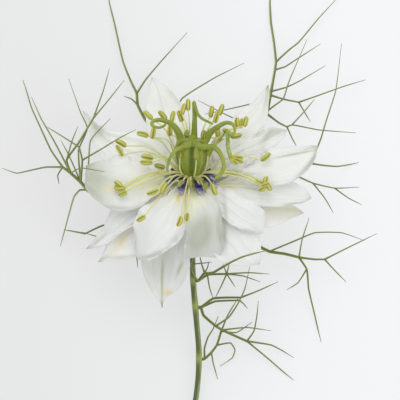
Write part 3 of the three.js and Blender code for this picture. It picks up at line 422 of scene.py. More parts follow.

# Marks on sepals: (sepal, x and y of its middle, long and short reach, turn in degrees, strength). The
# painted shade marks darken folds, creases, curled margins and sepals where another sepal shades them. The
# tone marks are green streaks and tips, and yellow, pollen and stain are the sepals' own colours.
SEPAL_MARKS_AND_PAINTED_SHADE = {
    "painted_shade": [
        (1, -5.6, 17, 5, 4, 111, 0.15), (1, -2.4, 15.6, 3, 0.5, 120, 0.3),
        (2, -19, 10.4, 3.4, 1.1, 128, 0.6), (3, -19.4, -0.8, 6, 4.4, 96, 1),
        (3, -15.2, -5.6, 6, 0.5, 176, 0.5), (4, -17.8, -10.4, 3, 0.8, 50, 0.2),
        (5, -14.6, -15.4, 3.6, 0.4, 4, 0.5), (6, -11.2, -12.6, 1.8, 0.5, 95, 0.4),
        (6, -8, -15.2, 2.6, 0.4, 10, 0.5), (6, -6.2, -14.2, 2.8, 0.4, 24, 0.5),
        (6, -3.2, -11.6, 2, 0.5, 48, 0.5), (7, -6, -17, 6, 5, 0, 0.5), (8, 1.2, -12, 5.4, 2.8, 64, 0.75),
        (8, 5.9, -8.8, 5, 0.6, 92, 0.9), (8, 3, -9.4, 7, 5, 0, 0.48), (9, 8.4, -13.4, 2.4, 0.3, 132, 0.3),
        (9, 6.6, -11, 3.2, 0.6, 92, 0.9), (10, 11.6, -10.3, 3, 0.4, 172, 0.5),
        (10, 6.8, -6.4, 3.4, 0.5, 95, 0.6), (11, 16, -5.4, 7, 2.6, 166, 0.35),
        (12, 15.4, -5.6, 4.4, 0.4, 178, 0.6), (12, 18.4, -2.6, 7, 3.2, 172, 0.2),
        (12, 20.6, -4.8, 2.4, 0.3, 4, 0.8), (13, 24.4, 4.2, 3, 0.4, 66, 0.7),
        (13, 22.4, 1.8, 3.6, 0.45, 50, 0.7), (13, 18, 3, 7, 4, 10, 0.2),
        (13, 21, 5.2, 4.4, 0.22, 11, 0.9), (14, 15.4, 9, 2.6, 0.8, 55, 0.7),
        (14, 17.6, 9.8, 1.6, 0.9, 30, 0.7), (14, 13.4, 9.2, 1.2, 0.4, 30, 0.8),
        (14, 13.6, 7.8, 6, 3.4, 30, 0.16), (15, 13.6, 14, 6, 3, 62, 0.14),
    ],
    "tone": [
        (2, -19.6, 11.2, 2.2, 0.4, 128, 0.2), (3, -20.4, 2.6, 1.2, 0.6, 30, 0.2),
        (4, -18.6, -12.2, 3, 0.35, 42, 0.4), (5, -17.8, -15.9, 1.6, 0.3, 40, 0.3),
        (7, -5.8, -20.4, 5, 0.25, 90, 0.55), (7, -2.2, -17.6, 1.7, 0.35, 65, 0.6),
        (13, 24.2, 6.4, 1.8, 0.5, 20, 0.3), (15, 15.3, 17, 3, 0.4, 80, 0.3),
    ],
    "yellow": [
        (3, -8.2, -0.8, 6.5, 1.4, 186, 0.5), (6, -0.8, -5, 3, 0.8, 80, 0.5),
        (8, 0.2, -5, 3, 0.6, 90, 0.4), (11, 14, -5, 7, 2.6, 166, 0.3), (12, 7, -0.6, 5.5, 1, 175, 0.5),
    ],
    "pollen": [
        (3, -16.2, -1.6, 1.1, 0.8, 0, 0.3), (3, -7.2, -3, 0.9, 0.6, 20, 0.6),
        (5, -14, -12.4, 3, 1.1, 56, 0.4), (6, -2.6, -3.6, 0.8, 0.6, 100, 0.7),
        (7, -5, -22.4, 1, 0.6, 15, 0.6), (7, -7.9, -21.9, 0.6, 0.4, 70, 0.2),
        (11, 20.2, -5.8, 2.6, 0.5, 174, 0.35),
    ],
    "stain": [
        (5, -14, -12.4, 2.4, 0.9, 56, 0.16), (7, -4.6, -22.6, 0.9, 0.5, 15, 0.5),
        (9, 12.8, -16.4, 1.2, 0.5, 10, 0.16), (11, 20.8, -6, 2.2, 0.5, 174, 0.12),
    ],
}

# Stamens: (the anther's centre, the direction it points to in degrees, seen from above, and for a small
# anther its share of the full length)
STAMENS = [
    (-8.6, 13, -2.6, 135), (-5.7, 12.9, -1.8, 130), (-3.7, 12.7, -1.2, 78), (-2.2, 12.8, -2.6, 110),
    (-1.6, 14.2, -2, 75), (-0.6, 15.1, -2.8, 90), (4.1, 13.7, -2, 80), (6, 14.1, -2.6, 70),
    (5.1, 12.6, -1, 75), (9.3, 11.5, -1.4, 92, 0.9), (10.1, 11.4, -2.4, 84, 0.85),
    (10.9, 11.7, -0.8, 78, 0.9), (7.4, 9.6, 1.4, 150), (9, 8.9, 0.4, 10), (5.4, 9.6, 0.2, 90),
    (-4.2, 10, 0.4, 90), (-9.7, 9.1, -0.4, 165), (-7.6, 9.4, 1.4, 80), (-14, 7.3, 0.6, 152),
    (-14.3, 5.9, 1.2, 120), (-8.7, 4.5, 3.4, 170), (-8.9, 3.5, 4.6, 178), (-14.5, -0.9, 3.6, 140, 0.8),
    (-14.1, -1.8, 4, 185, 0.85), (-14.5, -1.6, 3.4, 160, 0.7), (-13.6, -2.7, 4.2, 202, 0.75),
    (-7.6, -2.4, 6.6, 200), (-5.4, -1.6, 5.8, 60), (14.9, 4.6, 1.8, 40), (13.6, -0.5, 3.2, 160, 0.7),
    (15, -0.1, 2.6, 80, 0.7), (15.6, -1.4, 3, -60, 0.7), (14.2, -1.7, 3.6, -150, 0.7),
    (14.9, -0.9, 3.8, 20, 0.6), (-9.9, -7.7, 7.2, 212, 0.8), (-2.3, -8.2, 9.7, 250, 0.9),
    (-0.8, -7.4, 9.4, 262, 0.7), (4.6, -1.9, 8.4, 290),
]



class Paint:
    """A material on one shader, with short calls for the nodes that feed it. Noise scales are per metre."""

    def __init__(self, name, **values):
        self.material = bpy.data.materials.new(name)
        self.material.use_nodes = True
        self.tree = self.material.node_tree
        self.shader = self.tree.nodes["Principled BSDF"]
        self.place = self.node("ShaderNodeTexCoord").outputs["Object"]
        self.uv = self.node("ShaderNodeUVMap", uv_map="UVMap").outputs["UV"]
        for socket, value in values.items():
            self.put(self.shader.inputs[socket.replace("_", " ")], value)

    def put(self, socket, value):
        if isinstance(value, bpy.types.NodeSocket):
            self.tree.links.new(value, socket)
        else:
            socket.default_value = value

    def node(self, kind, inputs=(), **settings):
        made = self.tree.nodes.new(kind)
        for key, value in settings.items():
            setattr(made, key, value)
        for socket, value in dict(inputs).items():
            self.put(made.inputs[socket], value)
        return made

    def mark(self, name):
        return self.node("ShaderNodeAttribute", attribute_name=name).outputs["Fac"]

    def stretched(self, vector, scale):
        inputs = {"Vector": vector, "Scale": scale}
        return self.node("ShaderNodeMapping", inputs).outputs["Vector"]

    def noise(self, scale, detail=3.0, vector=None):
        inputs = {
            "Vector": vector or self.place, "Scale": scale, "Detail": detail, "Roughness": NOISE_ROUGHNESS,
        }
        return self.node("ShaderNodeTexNoise", inputs).outputs["Fac"]

    def sums(self, operation, a, b=0.0, c=0.0):
        return self.node("ShaderNodeMath", {0: a, 1: b, 2: c}, operation=operation).outputs[0]

    def spread(self, value, low, high, to_low=0.0, to_high=1.0):
        inputs = {"Value": value, 1: low, 2: high, 3: to_low, 4: to_high}
        return self.node("ShaderNodeMapRange", inputs, interpolation_type="SMOOTHSTEP").outputs[0]

    def first(self, vector):
        return self.node("ShaderNodeSeparateXYZ", {0: vector}).outputs["X"]

    def wave(self, value, rate):
        """The size of a sine of a value, from 0 to 1."""
        return self.sums("ABSOLUTE", self.sums("SINE", self.sums("MULTIPLY", value, rate)))

    def fleck(self, base, value, low, high, strength, colour):
        """Lays a colour over a base where a value is high."""
        return self.mix(self.spread(value, low, high, 0, strength), base, colour)

    def mix(self, share, a, b, blend="MIX"):
        made = self.node("ShaderNodeMix", data_type="RGBA", blend_type=blend)
        for index, value in ((0, share), (6, a), (7, b)):
            self.put(made.inputs[index], value)
        return made.outputs[2]

    def bump(self, height, distance, strength=1.0):
        inputs = {"Height": height, "Distance": distance * MM, "Strength": strength}
        self.put(self.shader.inputs["Normal"], self.node("ShaderNodeBump", inputs).outputs["Normal"])

    def colour(self, value):
        self.put(self.shader.inputs["Base Color"], value)
        return self.material


def rgb(red, green, blue):
    """A colour given as the screen shows it, from 0 to 255, in the renderer's own linear values."""
    linear = [((c / 255 + 0.055) / 1.055) ** 2.4 if c > 10 else c / 255 / 12.92 for c in (red, green, blue)]
    return (*linear, 1.0)


# How far the painted light and shade bands along the stem, lighter flanks with darker lines between them,
# are turned round it, in radians
STEM_PAINTED_LIGHT_TURN = -0.06


def stem_paint():
    paint = Paint("stem_skin", Roughness=0.5, Subsurface_Weight=0.08, Subsurface_Scale=0.4 * MM)
    streaks = paint.noise(9.0, 4, paint.stretched(paint.uv, (4.0, 0.05, 1.0)))
    wander = paint.noise(3.0, 2, paint.stretched(paint.uv, (0.0, 0.05, 1.0)))
    mottle = paint.noise(600.0, 3)
    across = paint.first(paint.uv)
    turned = paint.sums("ADD", across, paint.spread(wander, 0.3, 0.7, -0.05, 0.05))
    # Painted light and shade: two lighter flanks and two darker lines running along the stem, which lighten
    # or darken its green
    painted_light_bands = paint.sums("SINE", paint.sums("MULTIPLY_ADD", turned, 4 * math.pi, STEM_PAINTED_LIGHT_TURN))
    streaks_and_painted_light = paint.sums("MULTIPLY_ADD", streaks, 0.6, paint.spread(painted_light_bands, -0.9, 0.9, -0.1, 0.45))
    green = paint.mix(paint.spread(streaks_and_painted_light, 0.25, 0.75), rgb(84, 100, 50), rgb(142, 156, 96))
    green = paint.fleck(green, mottle, 0.5, 0.75, 0.3, rgb(112, 124, 66))
    green = paint.mix(paint.mark("tone"), green, rgb(180, 190, 104))
    paint.bump(paint.sums("MULTIPLY_ADD", streaks, 0.8, mottle), 0.03)
    return paint.colour(green)


def pith_paint():
    paint = Paint("cut_pith", Roughness=0.75)
    pores = paint.noise(5200.0, 2)
    paint.bump(pores, 0.05)
    return paint.colour(paint.mix(paint.spread(pores, 0.35, 0.65), rgb(168, 178, 120), rgb(222, 226, 188)))


def frond_paint():
    paint = Paint("thread_green", Roughness=0.55)
    mottle = paint.noise(420.0, 4)
    streaks = paint.noise(3.0, 3, paint.stretched(paint.uv, (3.0, 0.3, 1.0)))
    round_place = paint.first(paint.uv)
    painted_flank_light = paint.wave(round_place, 2 * math.pi)
    green = paint.mix(paint.mark("tone"), rgb(116, 128, 84), rgb(84, 108, 34))
    green = paint.fleck(green, mottle, 0.45, 0.75, 0.5, rgb(116, 122, 66))
    green = paint.fleck(green, streaks, 0.5, 0.8, 0.4, rgb(150, 162, 84))
    # Painted highlight: both flanks of every thread are lighter, a pale yellow-green
    green = paint.fleck(green, painted_flank_light, 0.55, 0.95, 0.6, rgb(172, 184, 104))
    paint.bump(streaks, 0.02)
    return paint.colour(green)


def sepal_paint():
    paint = Paint(
        "sepal_white", Roughness=0.52, Subsurface_Weight=0.35, Subsurface_Scale=0.9 * MM, Sheen_Weight=0.12,
        Specular_IOR_Level=0.35,
    )
    paint.put(paint.shader.inputs["Subsurface Radius"], (1.0, 1.0, 0.85))
    wander = paint.noise(160.0, 2)
    across = paint.first(paint.uv)
    bent = paint.sums("MULTIPLY_ADD", wander, 0.035, across)
    ribs = paint.wave(bent, 46.0)
    fine = paint.wave(bent, 131.0)
    veins = paint.spread(ribs, 0.0, 0.3, 1.0, 0.0)
    white = paint.mix(paint.spread(wander, 0.35, 0.7), rgb(247, 247, 244), rgb(241, 242, 238))
    white = paint.mix(paint.sums("MULTIPLY", veins, 0.13), white, rgb(208, 213, 196))
    white = paint.mix(paint.spread(fine, 0.0, 0.35, 0.08, 0.0), white, rgb(216, 220, 208))
    # Painted shade: a grey-green that darkens folds, creases, shadowed margins and sepals that lie in shade
    white = paint.mix(paint.mark("painted_shade"), white, rgb(182, 186, 172))
    white = paint.mix(paint.mark("yellow"), white, rgb(242, 240, 176))
    white = paint.mix(paint.mark("stain"), white, rgb(206, 176, 142))
    white = paint.mix(paint.mark("pollen"), white, rgb(240, 218, 126))
    white = paint.mix(paint.mark("tone"), white, rgb(126, 146, 76))
    cells = paint.noise(5200.0, 2)
    relief = paint.sums("MULTIPLY_ADD", ribs, 0.6, paint.sums("MULTIPLY", cells, 0.25))
    paint.bump(paint.sums("MULTIPLY_ADD", fine, 0.2, relief), 0.05, 0.8)
    return paint.colour(white)


def receptacle_paint(name="receptacle_green"):
    paint = Paint(name, Roughness=0.5, Subsurface_Weight=0.1, Subsurface_Scale=0.4 * MM)
    mottle = paint.noise(900.0, 4)
    paint.bump(mottle, 0.06)
    return paint.colour(paint.mix(paint.spread(mottle, 0.35, 0.65), rgb(128, 150, 62), rgb(182, 192, 104)))


def pod_paint():
    paint = Paint(
        "pod_green", Roughness=0.42, Subsurface_Weight=0.12, Subsurface_Scale=0.6 * MM, Coat_Weight=0.08,
        Coat_Roughness=0.3,
    )
    mottle = paint.noise(700.0, 4)
    grain = paint.noise(4200.0, 3)
    # The tone mark is painted shade and light: dark green in the furrows between the lobes, light green on
    # the lobes
    green = paint.mix(paint.mark("tone"), rgb(74, 94, 20), rgb(146, 160, 48))
    green = paint.fleck(green, mottle, 0.42, 0.72, 0.5, rgb(112, 128, 34))
    green = paint.mix(paint.mark("pale"), green, rgb(188, 192, 80))
    green = paint.fleck(green, grain, 0.55, 0.75, 0.35, rgb(166, 176, 80))
    paint.bump(paint.sums("MULTIPLY_ADD", grain, 0.6, mottle), 0.05, 0.8)
    return paint.colour(green)


def filament_paint():
    paint = Paint("filament_pale", Roughness=0.45, Subsurface_Weight=0.2, Subsurface_Scale=0.3 * MM)
    mottle = paint.noise(500.0, 3)
    green = paint.mix(paint.mark("tone"), rgb(236, 235, 184), rgb(206, 210, 126))
    paint.bump(mottle, 0.02)
    return paint.colour(paint.fleck(green, mottle, 0.45, 0.75, 0.4, rgb(204, 208, 128)))


def anther_paint():
    paint = Paint("anther_yellow", Roughness=0.68, Sheen_Weight=0.15)
    grains = paint.noise(7000.0, 2)
    mottle = paint.noise(900.0, 3)
    yellow = paint.mix(paint.mark("tone"), rgb(98, 104, 14), rgb(216, 212, 98))
    yellow = paint.fleck(yellow, mottle, 0.45, 0.72, 0.5, rgb(170, 176, 66))
    yellow = paint.fleck(yellow, grains, 0.55, 0.72, 0.6, rgb(226, 220, 132))
    paint.bump(grains, 0.06)
    return paint.colour(yellow)


def nectary_paint():
    paint = Paint("nectary_violet", Roughness=0.38, Coat_Weight=0.2, Coat_Roughness=0.25)
    mottle = paint.noise(1500.0, 4)
    streaks = paint.noise(5.0, 3, paint.stretched(paint.uv, (3.0, 0.4, 1.0)))
    dark = paint.mix(paint.spread(mottle, 0.4, 0.65), rgb(40, 28, 46), rgb(74, 56, 90))
    violet = paint.mix(paint.spread(mottle, 0.35, 0.65), rgb(88, 78, 144), rgb(134, 126, 184))
    blend = paint.mix(paint.mark("tone"), dark, violet)
    fade = paint.sums("MULTIPLY", paint.mark("pale"), paint.spread(streaks, 0.25, 0.6, 0.35, 1.0))
    blend = paint.mix(fade, blend, rgb(216, 212, 226))
    paint.bump(mottle, 0.06)
    return paint.colour(blend)


def hair_paint():
    paint = Paint("nectary_hair", Roughness=0.5)
    mottle = paint.noise(900.0, 2)
    return paint.colour(paint.mix(mottle, rgb(226, 222, 232), rgb(176, 168, 208)))


def floor_paint():
    """A pale sheet with a painted glow: its emission stands in for light, so its shadows stay soft and
    light, and a painted light gradient makes it brighter to the right.
    """
    paint = Paint("pale_floor", Roughness=0.9, Specular_IOR_Level=0.2, Emission_Strength=FLOOR_GLOW)
    across = paint.first(paint.place)
    painted_light_rightward = paint.spread(across, -40 * MM, 40 * MM)
    mottle = paint.noise(2.0, 2)
    # Painted light: the floor grows lighter from left to right
    grey = paint.mix(painted_light_rightward, rgb(236, 236, 236), rgb(250, 250, 252))
    grey = paint.mix(paint.sums("MULTIPLY", mottle, 0.1), grey, rgb(242, 242, 243))
    # Painted glow: the floor emits this colour as light
    paint.put(paint.shader.inputs["Emission Color"], grey)
    return paint.colour(paint.mix(1.0, grey, (FLOOR_SHARE, FLOOR_SHARE, FLOOR_SHARE, 1.0), "MULTIPLY"))


def add_mark(piece, name, values):
    """Gives a mesh one more value for each point, which its material reads by name."""
    layer = piece.data.attributes.new(name, "FLOAT", "POINT")
    layer.data.foreach_set("value", values.astype(np.float32))


def settle(piece, node):
    """Makes a piece stand for a part of the model: hangs it from the root body and hides that part."""
    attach(piece, "root")
    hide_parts(node)


# Stem
STEM_RIBS = 11
RIB_DEPTH = 0.045
NODE_SHARES = [0.3, 0.433, 0.5]
KNOT_LENGTH = 0.022
STEM_SIDES = 44
STEM_STEP = 0.4


def build_stem():
    shape = Shape()
    line = STEM_LINE + [around(0, 0, -6.5), around(0, 0, -INVOLUCRE_DROP), around(0, 0, STEM_TOP)]

    def swollen(share):
        knots = sum(math.exp(-(((share - at) / KNOT_LENGTH) ** 2)) for at in NODE_SHARES)
        return STEM_RADIUS * (1 + 0.14 * knots + 0.2 * share**8)

    def ribs(angles, shares):
        ridges = RIB_DEPTH * np.cos(STEM_RIBS * angles + 3 * np.sin(5 * shares))
        return 1 + ridges + 0.02 * np.cos(2 * angles)

    def ripe(shares):
        return sum(bump(shares, at, 0.012) for at in NODE_SHARES) * 0.6

    tube(shape, line, swollen, STEM_SIDES, STEM_STEP, ripe, ribs)
    settle(shape.object("flower_stem", stem_paint()), "stem")

    # The cut end: a ring of rind round pale pith
    cut = Shape()
    ends = Curve(line).at([0, 0.002])
    inward = unit(ends[1] - ends[0])
    up = unit(np.cross(inward, [1, 0, 0]))
    right = np.cross(up, inward)
    angles = turns(32)
    rings = []
    for reach, lift in ((0.9, 0.0), (0.84, -0.035), (0.5, -0.06), (0.18, -0.02), (0.01, -0.015)):
        ring = ends[0] + inward * lift + reach * STEM_RADIUS * (
            np.cos(angles)[:, None] * right + np.sin(angles)[:, None] * up
        )
        rings.append(ring)
    lattice(cut, np.array(rings), 0.5, [0, 1, 2, 3, 4], flip=True)
    settle(cut.object("stem_cut_face", pith_paint()), "stem")


# Bracts and leaves
THREAD_SIDES = 10
THREAD_PULL = 0.45
THREAD_STEP = 0.42


def thread_points(rows):
    """Each thread's points, with a first one that is named by thread and point put in."""
    threads = []
    for _, _, first, *others in rows:
        if len(first) == 2:
            thread, place = first
            first = threads[thread][place]
        threads.append([first, *others])
    return threads


def build_frond(name, node, root, anchor, rows, material):
    """A tree of threads. Each thread starts on a point of the one that carries it."""
    shape = Shape()
    threads = thread_points(rows)
    starts = [points[0] for points in threads]
    for (start, end, *_), points in zip(rows, threads):
        rooted = points[0] == "root"
        line = [anchor, root] + points[1:] if rooted else points
        spans = len(line) - 1
        last_thread = points[-1] not in starts
        fresh = 1.0 if rooted else (0.75 if start > 0.3 else 0.45)

        def radius(share):
            along = max(0.0, (share * spans - 1) / (spans - 1)) if rooted else share
            width = (start + (end - start) * along) * (0.66 if last_thread else 0.72)
            sheath = 1 + 0.35 * math.exp(-((share * spans / 0.9) ** 2)) if rooted else 1.0
            point = 1 - 0.45 * smoothstep(share, 0.7, 1.0) if last_thread else 1.0
            joint = 1 + 0.2 * math.exp(-((share * spans / 0.25) ** 2))
            return float(width * sheath * point * joint)

        def tone(shares):
            return np.clip(fresh - (0.75 * shares if last_thread else 0.2 * shares), 0, 1)

        def groove(angles, shares):
            return 1 - 0.09 * np.cos(2 * angles) - 0.05 * np.cos(4 * angles)

        tube(shape, line, radius, THREAD_SIDES, THREAD_STEP, tone, groove, THREAD_PULL)
    settle(shape.object(name, material), node)


def build_fronds():
    material = frond_paint()
    for node, (azimuth, rows) in BRACTS.items():
        turn = math.radians(azimuth)
        root = around(turn, BRACT_ROOT_RADIUS, -INVOLUCRE_DROP - 0.3)
        anchor = around(turn, 0.55, -INVOLUCRE_DROP + 0.1)
        build_frond(node.replace("bract", "involucre"), node, root, anchor, rows, material)
    stem = Curve(STEM_LINE).at(np.linspace(0, 1, 400))
    for node, (root, rows) in LEAVES.items():
        root = np.array(root, float)
        anchor = stem[np.argmin(np.linalg.norm(stem - root, axis=1))]
        anchor = anchor * 0.75 + root * 0.25
        build_frond(node.replace("leaf", "stem_leaf"), node, root, anchor, rows, material)


# Sepals
SEPAL_ROWS = 88
SEPAL_COLUMNS = 40
SEPAL_THICKNESS = 0.22
RUFFLES = [(5.3, 0.62, 0.2), (11.5, 0.72, 0.1), (21.0, 0.84, 0.045)]
PLEATS = [(3.2, 0.15), (7.5, 0.055)]
FACING_PULL = 0.4


def sepal_width(widths, shares):
    """The half width at each share of the length, on a smooth line through the stations' widths."""
    x = np.array(SEPAL_STATIONS)
    y = np.array([0.6, *widths, 0.03])
    slope = np.gradient(y, x)
    k = np.clip(np.searchsorted(x, shares, side="right") - 1, 0, len(x) - 2)
    span = x[k + 1] - x[k]
    t = (shares - x[k]) / span
    start = (1 + 2 * t) * (1 - t) ** 2 * y[k] + t * (1 - t) ** 2 * span * slope[k]
    return np.maximum(start + t**2 * (3 - 2 * t) * y[k + 1] + t**2 * (t - 1) * span * slope[k + 1], 0.02)


def stamp(places, middle, reaches, turn):
    """How strongly a soft oval mark, seen from above, covers each place."""
    angle = math.radians(turn)
    x = places[..., 0] - middle[0]
    y = places[..., 1] - middle[1]
    along = (x * math.cos(angle) + y * math.sin(angle)) / reaches[0]
    across = (y * math.cos(angle) - x * math.sin(angle)) / reaches[1]
    return np.exp(-(along**2) - across**2)


def blade(shape, grid, thickness, tone):
    """Adds a closed blade over a grid of points. tone has a value for each point, front then back."""
    rows, columns = grid.shape[:2]
    down = np.gradient(grid, axis=0)
    over = np.gradient(grid, axis=1)
    normal = np.cross(over, down)
    normal /= np.linalg.norm(normal, axis=2)[:, :, None] + 1e-12
    offset = normal * (np.asarray(thickness) / 2)[:, :, None]
    places = np.concatenate([(grid + offset).reshape(-1, 3), (grid - offset).reshape(-1, 3)])
    back = rows * columns
    faces = []
    uvs = []

    def corner(index):
        i, j = divmod(index % back, columns)
        return (j / (columns - 1), i / (rows - 1))

    for i in range(rows - 1):
        for j in range(columns - 1):
            a = i * columns + j
            c = a + columns
            faces.append((a, a + 1, c + 1, c))
            faces.append((back + a, back + c, back + c + 1, back + a + 1))
    rim = list(range(columns))
    rim += [i * columns + columns - 1 for i in range(1, rows)]
    rim += [(rows - 1) * columns + j for j in range(columns - 2, -1, -1)]
    rim += [i * columns for i in range(rows - 2, 0, -1)]
    for k, a in enumerate(rim):
        b = rim[(k + 1) % len(rim)]
        faces.append((b, a, back + a, back + b))
    for face in faces:
        uvs += [corner(index) for index in face]
    shape.add(places, faces, uvs, tone)


def build_sepal(order, material):
    azimuth, whorl, cup, crumple, midrib, near, far, (curl_near, curl_far, vein, tip) = SEPALS[order]
    rng = np.random.default_rng(500 + order)
    turn = math.radians(azimuth)
    level = WHORL_LEVEL[whorl]
    line = [around(turn, 0.8, level), around(turn, CLAW_REACH, level)] + midrib
    curve = Curve(line)
    shares = np.linspace(0, 1, SEPAL_ROWS + 1)
    centre = curve.even(shares)
    along = np.gradient(centre, axis=0)
    along /= np.linalg.norm(along, axis=1)[:, None]
    opened = smoothstep(shares, 0.05, CLAW_END)[:, None]
    wanted = AXIS * (1 - opened) + SEPAL_FACING * opened
    face = np.empty_like(wanted)
    last = AXIS
    for i, (want, way) in enumerate(zip(wanted, along)):
        want = unit(want - way * (want @ way))
        last = unit(last - way * (last @ way))
        last = unit(last + FACING_PULL * max(0.0, want @ last) * want)
        face[i] = last
    across = np.cross(along, face)

    s = shares[:, None]
    side = np.linspace(-1, 1, SEPAL_COLUMNS + 1)[None, :]
    body = s * (1 - s) * 4
    wave = WAVE_HEIGHT * np.sin(2 * math.pi * WAVES * s + 1.7 * order + 1.3 * side)
    lift = (cup * np.sin(math.pi * s) + wave * s) * side**2
    for count, inner, height in RUFFLES:
        phase = rng.random() * 6 + (2.1 + rng.random()) * np.sign(side)
        ruffle = np.sin(2 * math.pi * (count + rng.random()) * s + phase + 1.5 * abs(side))
        lift = lift + crumple * height * ruffle * smoothstep(abs(side), inner, 1.0) * np.sqrt(body)
    for pleats, height in PLEATS:
        drift = rng.random() * 6 + 1.6 * s
        lift = lift + crumple * height * np.cos(math.pi * pleats * side + drift) * body * (1 - 0.5 * s)
    lift = lift - 0.2 * bump(side, 0, 0.07) * (1 - s) * smoothstep(s, 0.05, 0.2)
    curl = np.where(side > 0, curl_near, curl_far)
    margin = smoothstep(abs(side), 0.62, 1.0) ** 1.5
    lift = lift - curl * margin * smoothstep(s, 0.3, 0.6)
    widths = np.where(side > 0, sepal_width(near, shares)[:, None], sepal_width(far, shares)[:, None])
    notch = 1 + 0.02 * np.sin(9 * s * math.pi + rng.random() * 6 + side) * body
    reach = side * widths * notch
    grid = centre[:, None, :] + across[:, None, :] * reach[:, :, None] + face[:, None, :] * lift[:, :, None]
    rib = bump(side, 0, 0.1) * (1 - s)
    thickness = SEPAL_THICKNESS * (1 - 0.7 * abs(side) ** 3) * (1 + 0.8 * rib) * (1 - 0.5 * s)

    claw = 1 - smoothstep(s, 0.08, 0.3)
    green = 0.2 * claw + tip * smoothstep(s, 0.93, 0.995) + vein * bump(side, 0, 0.05) * (1 - 0.4 * s)
    marks = {
        "tone": green,
        "yellow": 0.55 * (1 - smoothstep(s, 0.16, 0.38)) * (1 - 0.5 * abs(side)),
        # A faint painted shade over every sepal, before the marks below are added
        "painted_shade": 0.05 + 0 * s,
        "stain": 0 * s,
        "pollen": 0 * s,
    }
    for mark, spots in SEPAL_MARKS_AND_PAINTED_SHADE.items():
        for number, x, y, long_reach, short_reach, lean, strength in spots:
            if number == order + 1:
                spot = stamp(grid, (x, y), (long_reach, short_reach), lean)
                marks[mark] = marks[mark] + strength * spot
    flat = {}
    for mark, value in marks.items():
        flat[mark] = np.tile(np.clip(value * np.ones_like(reach), 0, 1).ravel(), 2)
    shape = Shape()
    blade(shape, grid, thickness * np.ones_like(reach), flat.pop("tone"))
    piece = shape.object(f"sepal_{order + 1:02d}", material)
    for mark, value in flat.items():
        add_mark(piece, mark, value)
    settle(piece, "sepals")


def build_sepals():
    material = sepal_paint()
    for order in range(len(SEPALS)):
        build_sepal(order, material)


# Receptacle: the stem's swollen top, which carries all the whorls
RECEPTACLE_PROFILE = [
    (0.82, -3.4), (1.2, -3.0), (1.5, -2.5), (1.85, -1.9), (2.05, -1.2), (2.15, -0.5), (2.05, 0.1),
    (1.9, 0.6), (1.8, 1.1), (1.55, 1.5), (1.2, 1.9),
]


def build_receptacle():
    shape = Shape()
    angles = turns(40)
    profile = Curve([(r, a, 0) for r, a in RECEPTACLE_PROFILE]).even(np.linspace(0, 1, 40))
    rings = []
    for radius, height, _ in profile:
        bumps = 1 + 0.05 * np.cos(15 * angles + 4 * height)
        rings.append([around(a, radius * b, height) for a, b in zip(angles, bumps)])
    lattice(shape, np.array(rings), 0.5, list(range(len(profile))))
    settle(shape.object("receptacle", receptacle_paint()), "sepals")


# Young seed pod
POD_HEIGHT = 8.9
POD_RADIUS = 3.5
POD_FOOT = 1.7
POD_LOBES = 5
LOBE_DEPTH = 0.17
POD_PROFILE = [
    (0.0, 0.56), (0.15, 0.72), (0.3, 0.85), (0.48, 0.96), (0.66, 1.0), (0.8, 0.98), (0.92, 0.89),
    (1.0, 0.68),
]
HORN_RADII = [(0.9, 0.25), (0.8, 0.25), (0.9, 0.26), (0.6, 0.26), (0.8, 0.34)]
HORN_TAPER = 2.4
POD_VOXEL = 0.1
POD_SMOOTHING = 5
POD_SIDES = 90


def fused(shape, name, material):
    """One smooth skin over a shape's overlapping bodies, still in millimetres from the flower's centre."""
    mesh = bpy.data.meshes.new(name)
    mesh.from_pydata(np.vstack(shape.verts).tolist(), [], shape.faces)
    piece = bpy.data.objects.new(name, mesh)
    bpy.context.scene.collection.objects.link(piece)
    remesh = piece.modifiers.new("fuse", "REMESH")
    remesh.mode = "VOXEL"
    remesh.voxel_size = POD_VOXEL
    smooth = piece.modifiers.new("relax", "SMOOTH")
    smooth.factor = 0.5
    smooth.iterations = POD_SMOOTHING
    view = bpy.context.evaluated_depsgraph_get()
    done = bpy.data.meshes.new_from_object(piece.evaluated_get(view))
    piece.modifiers.clear()
    piece.data = done
    done.materials.clear()
    done.materials.append(material)
    done.polygons.foreach_set("use_smooth", [True] * len(done.polygons))
    return piece


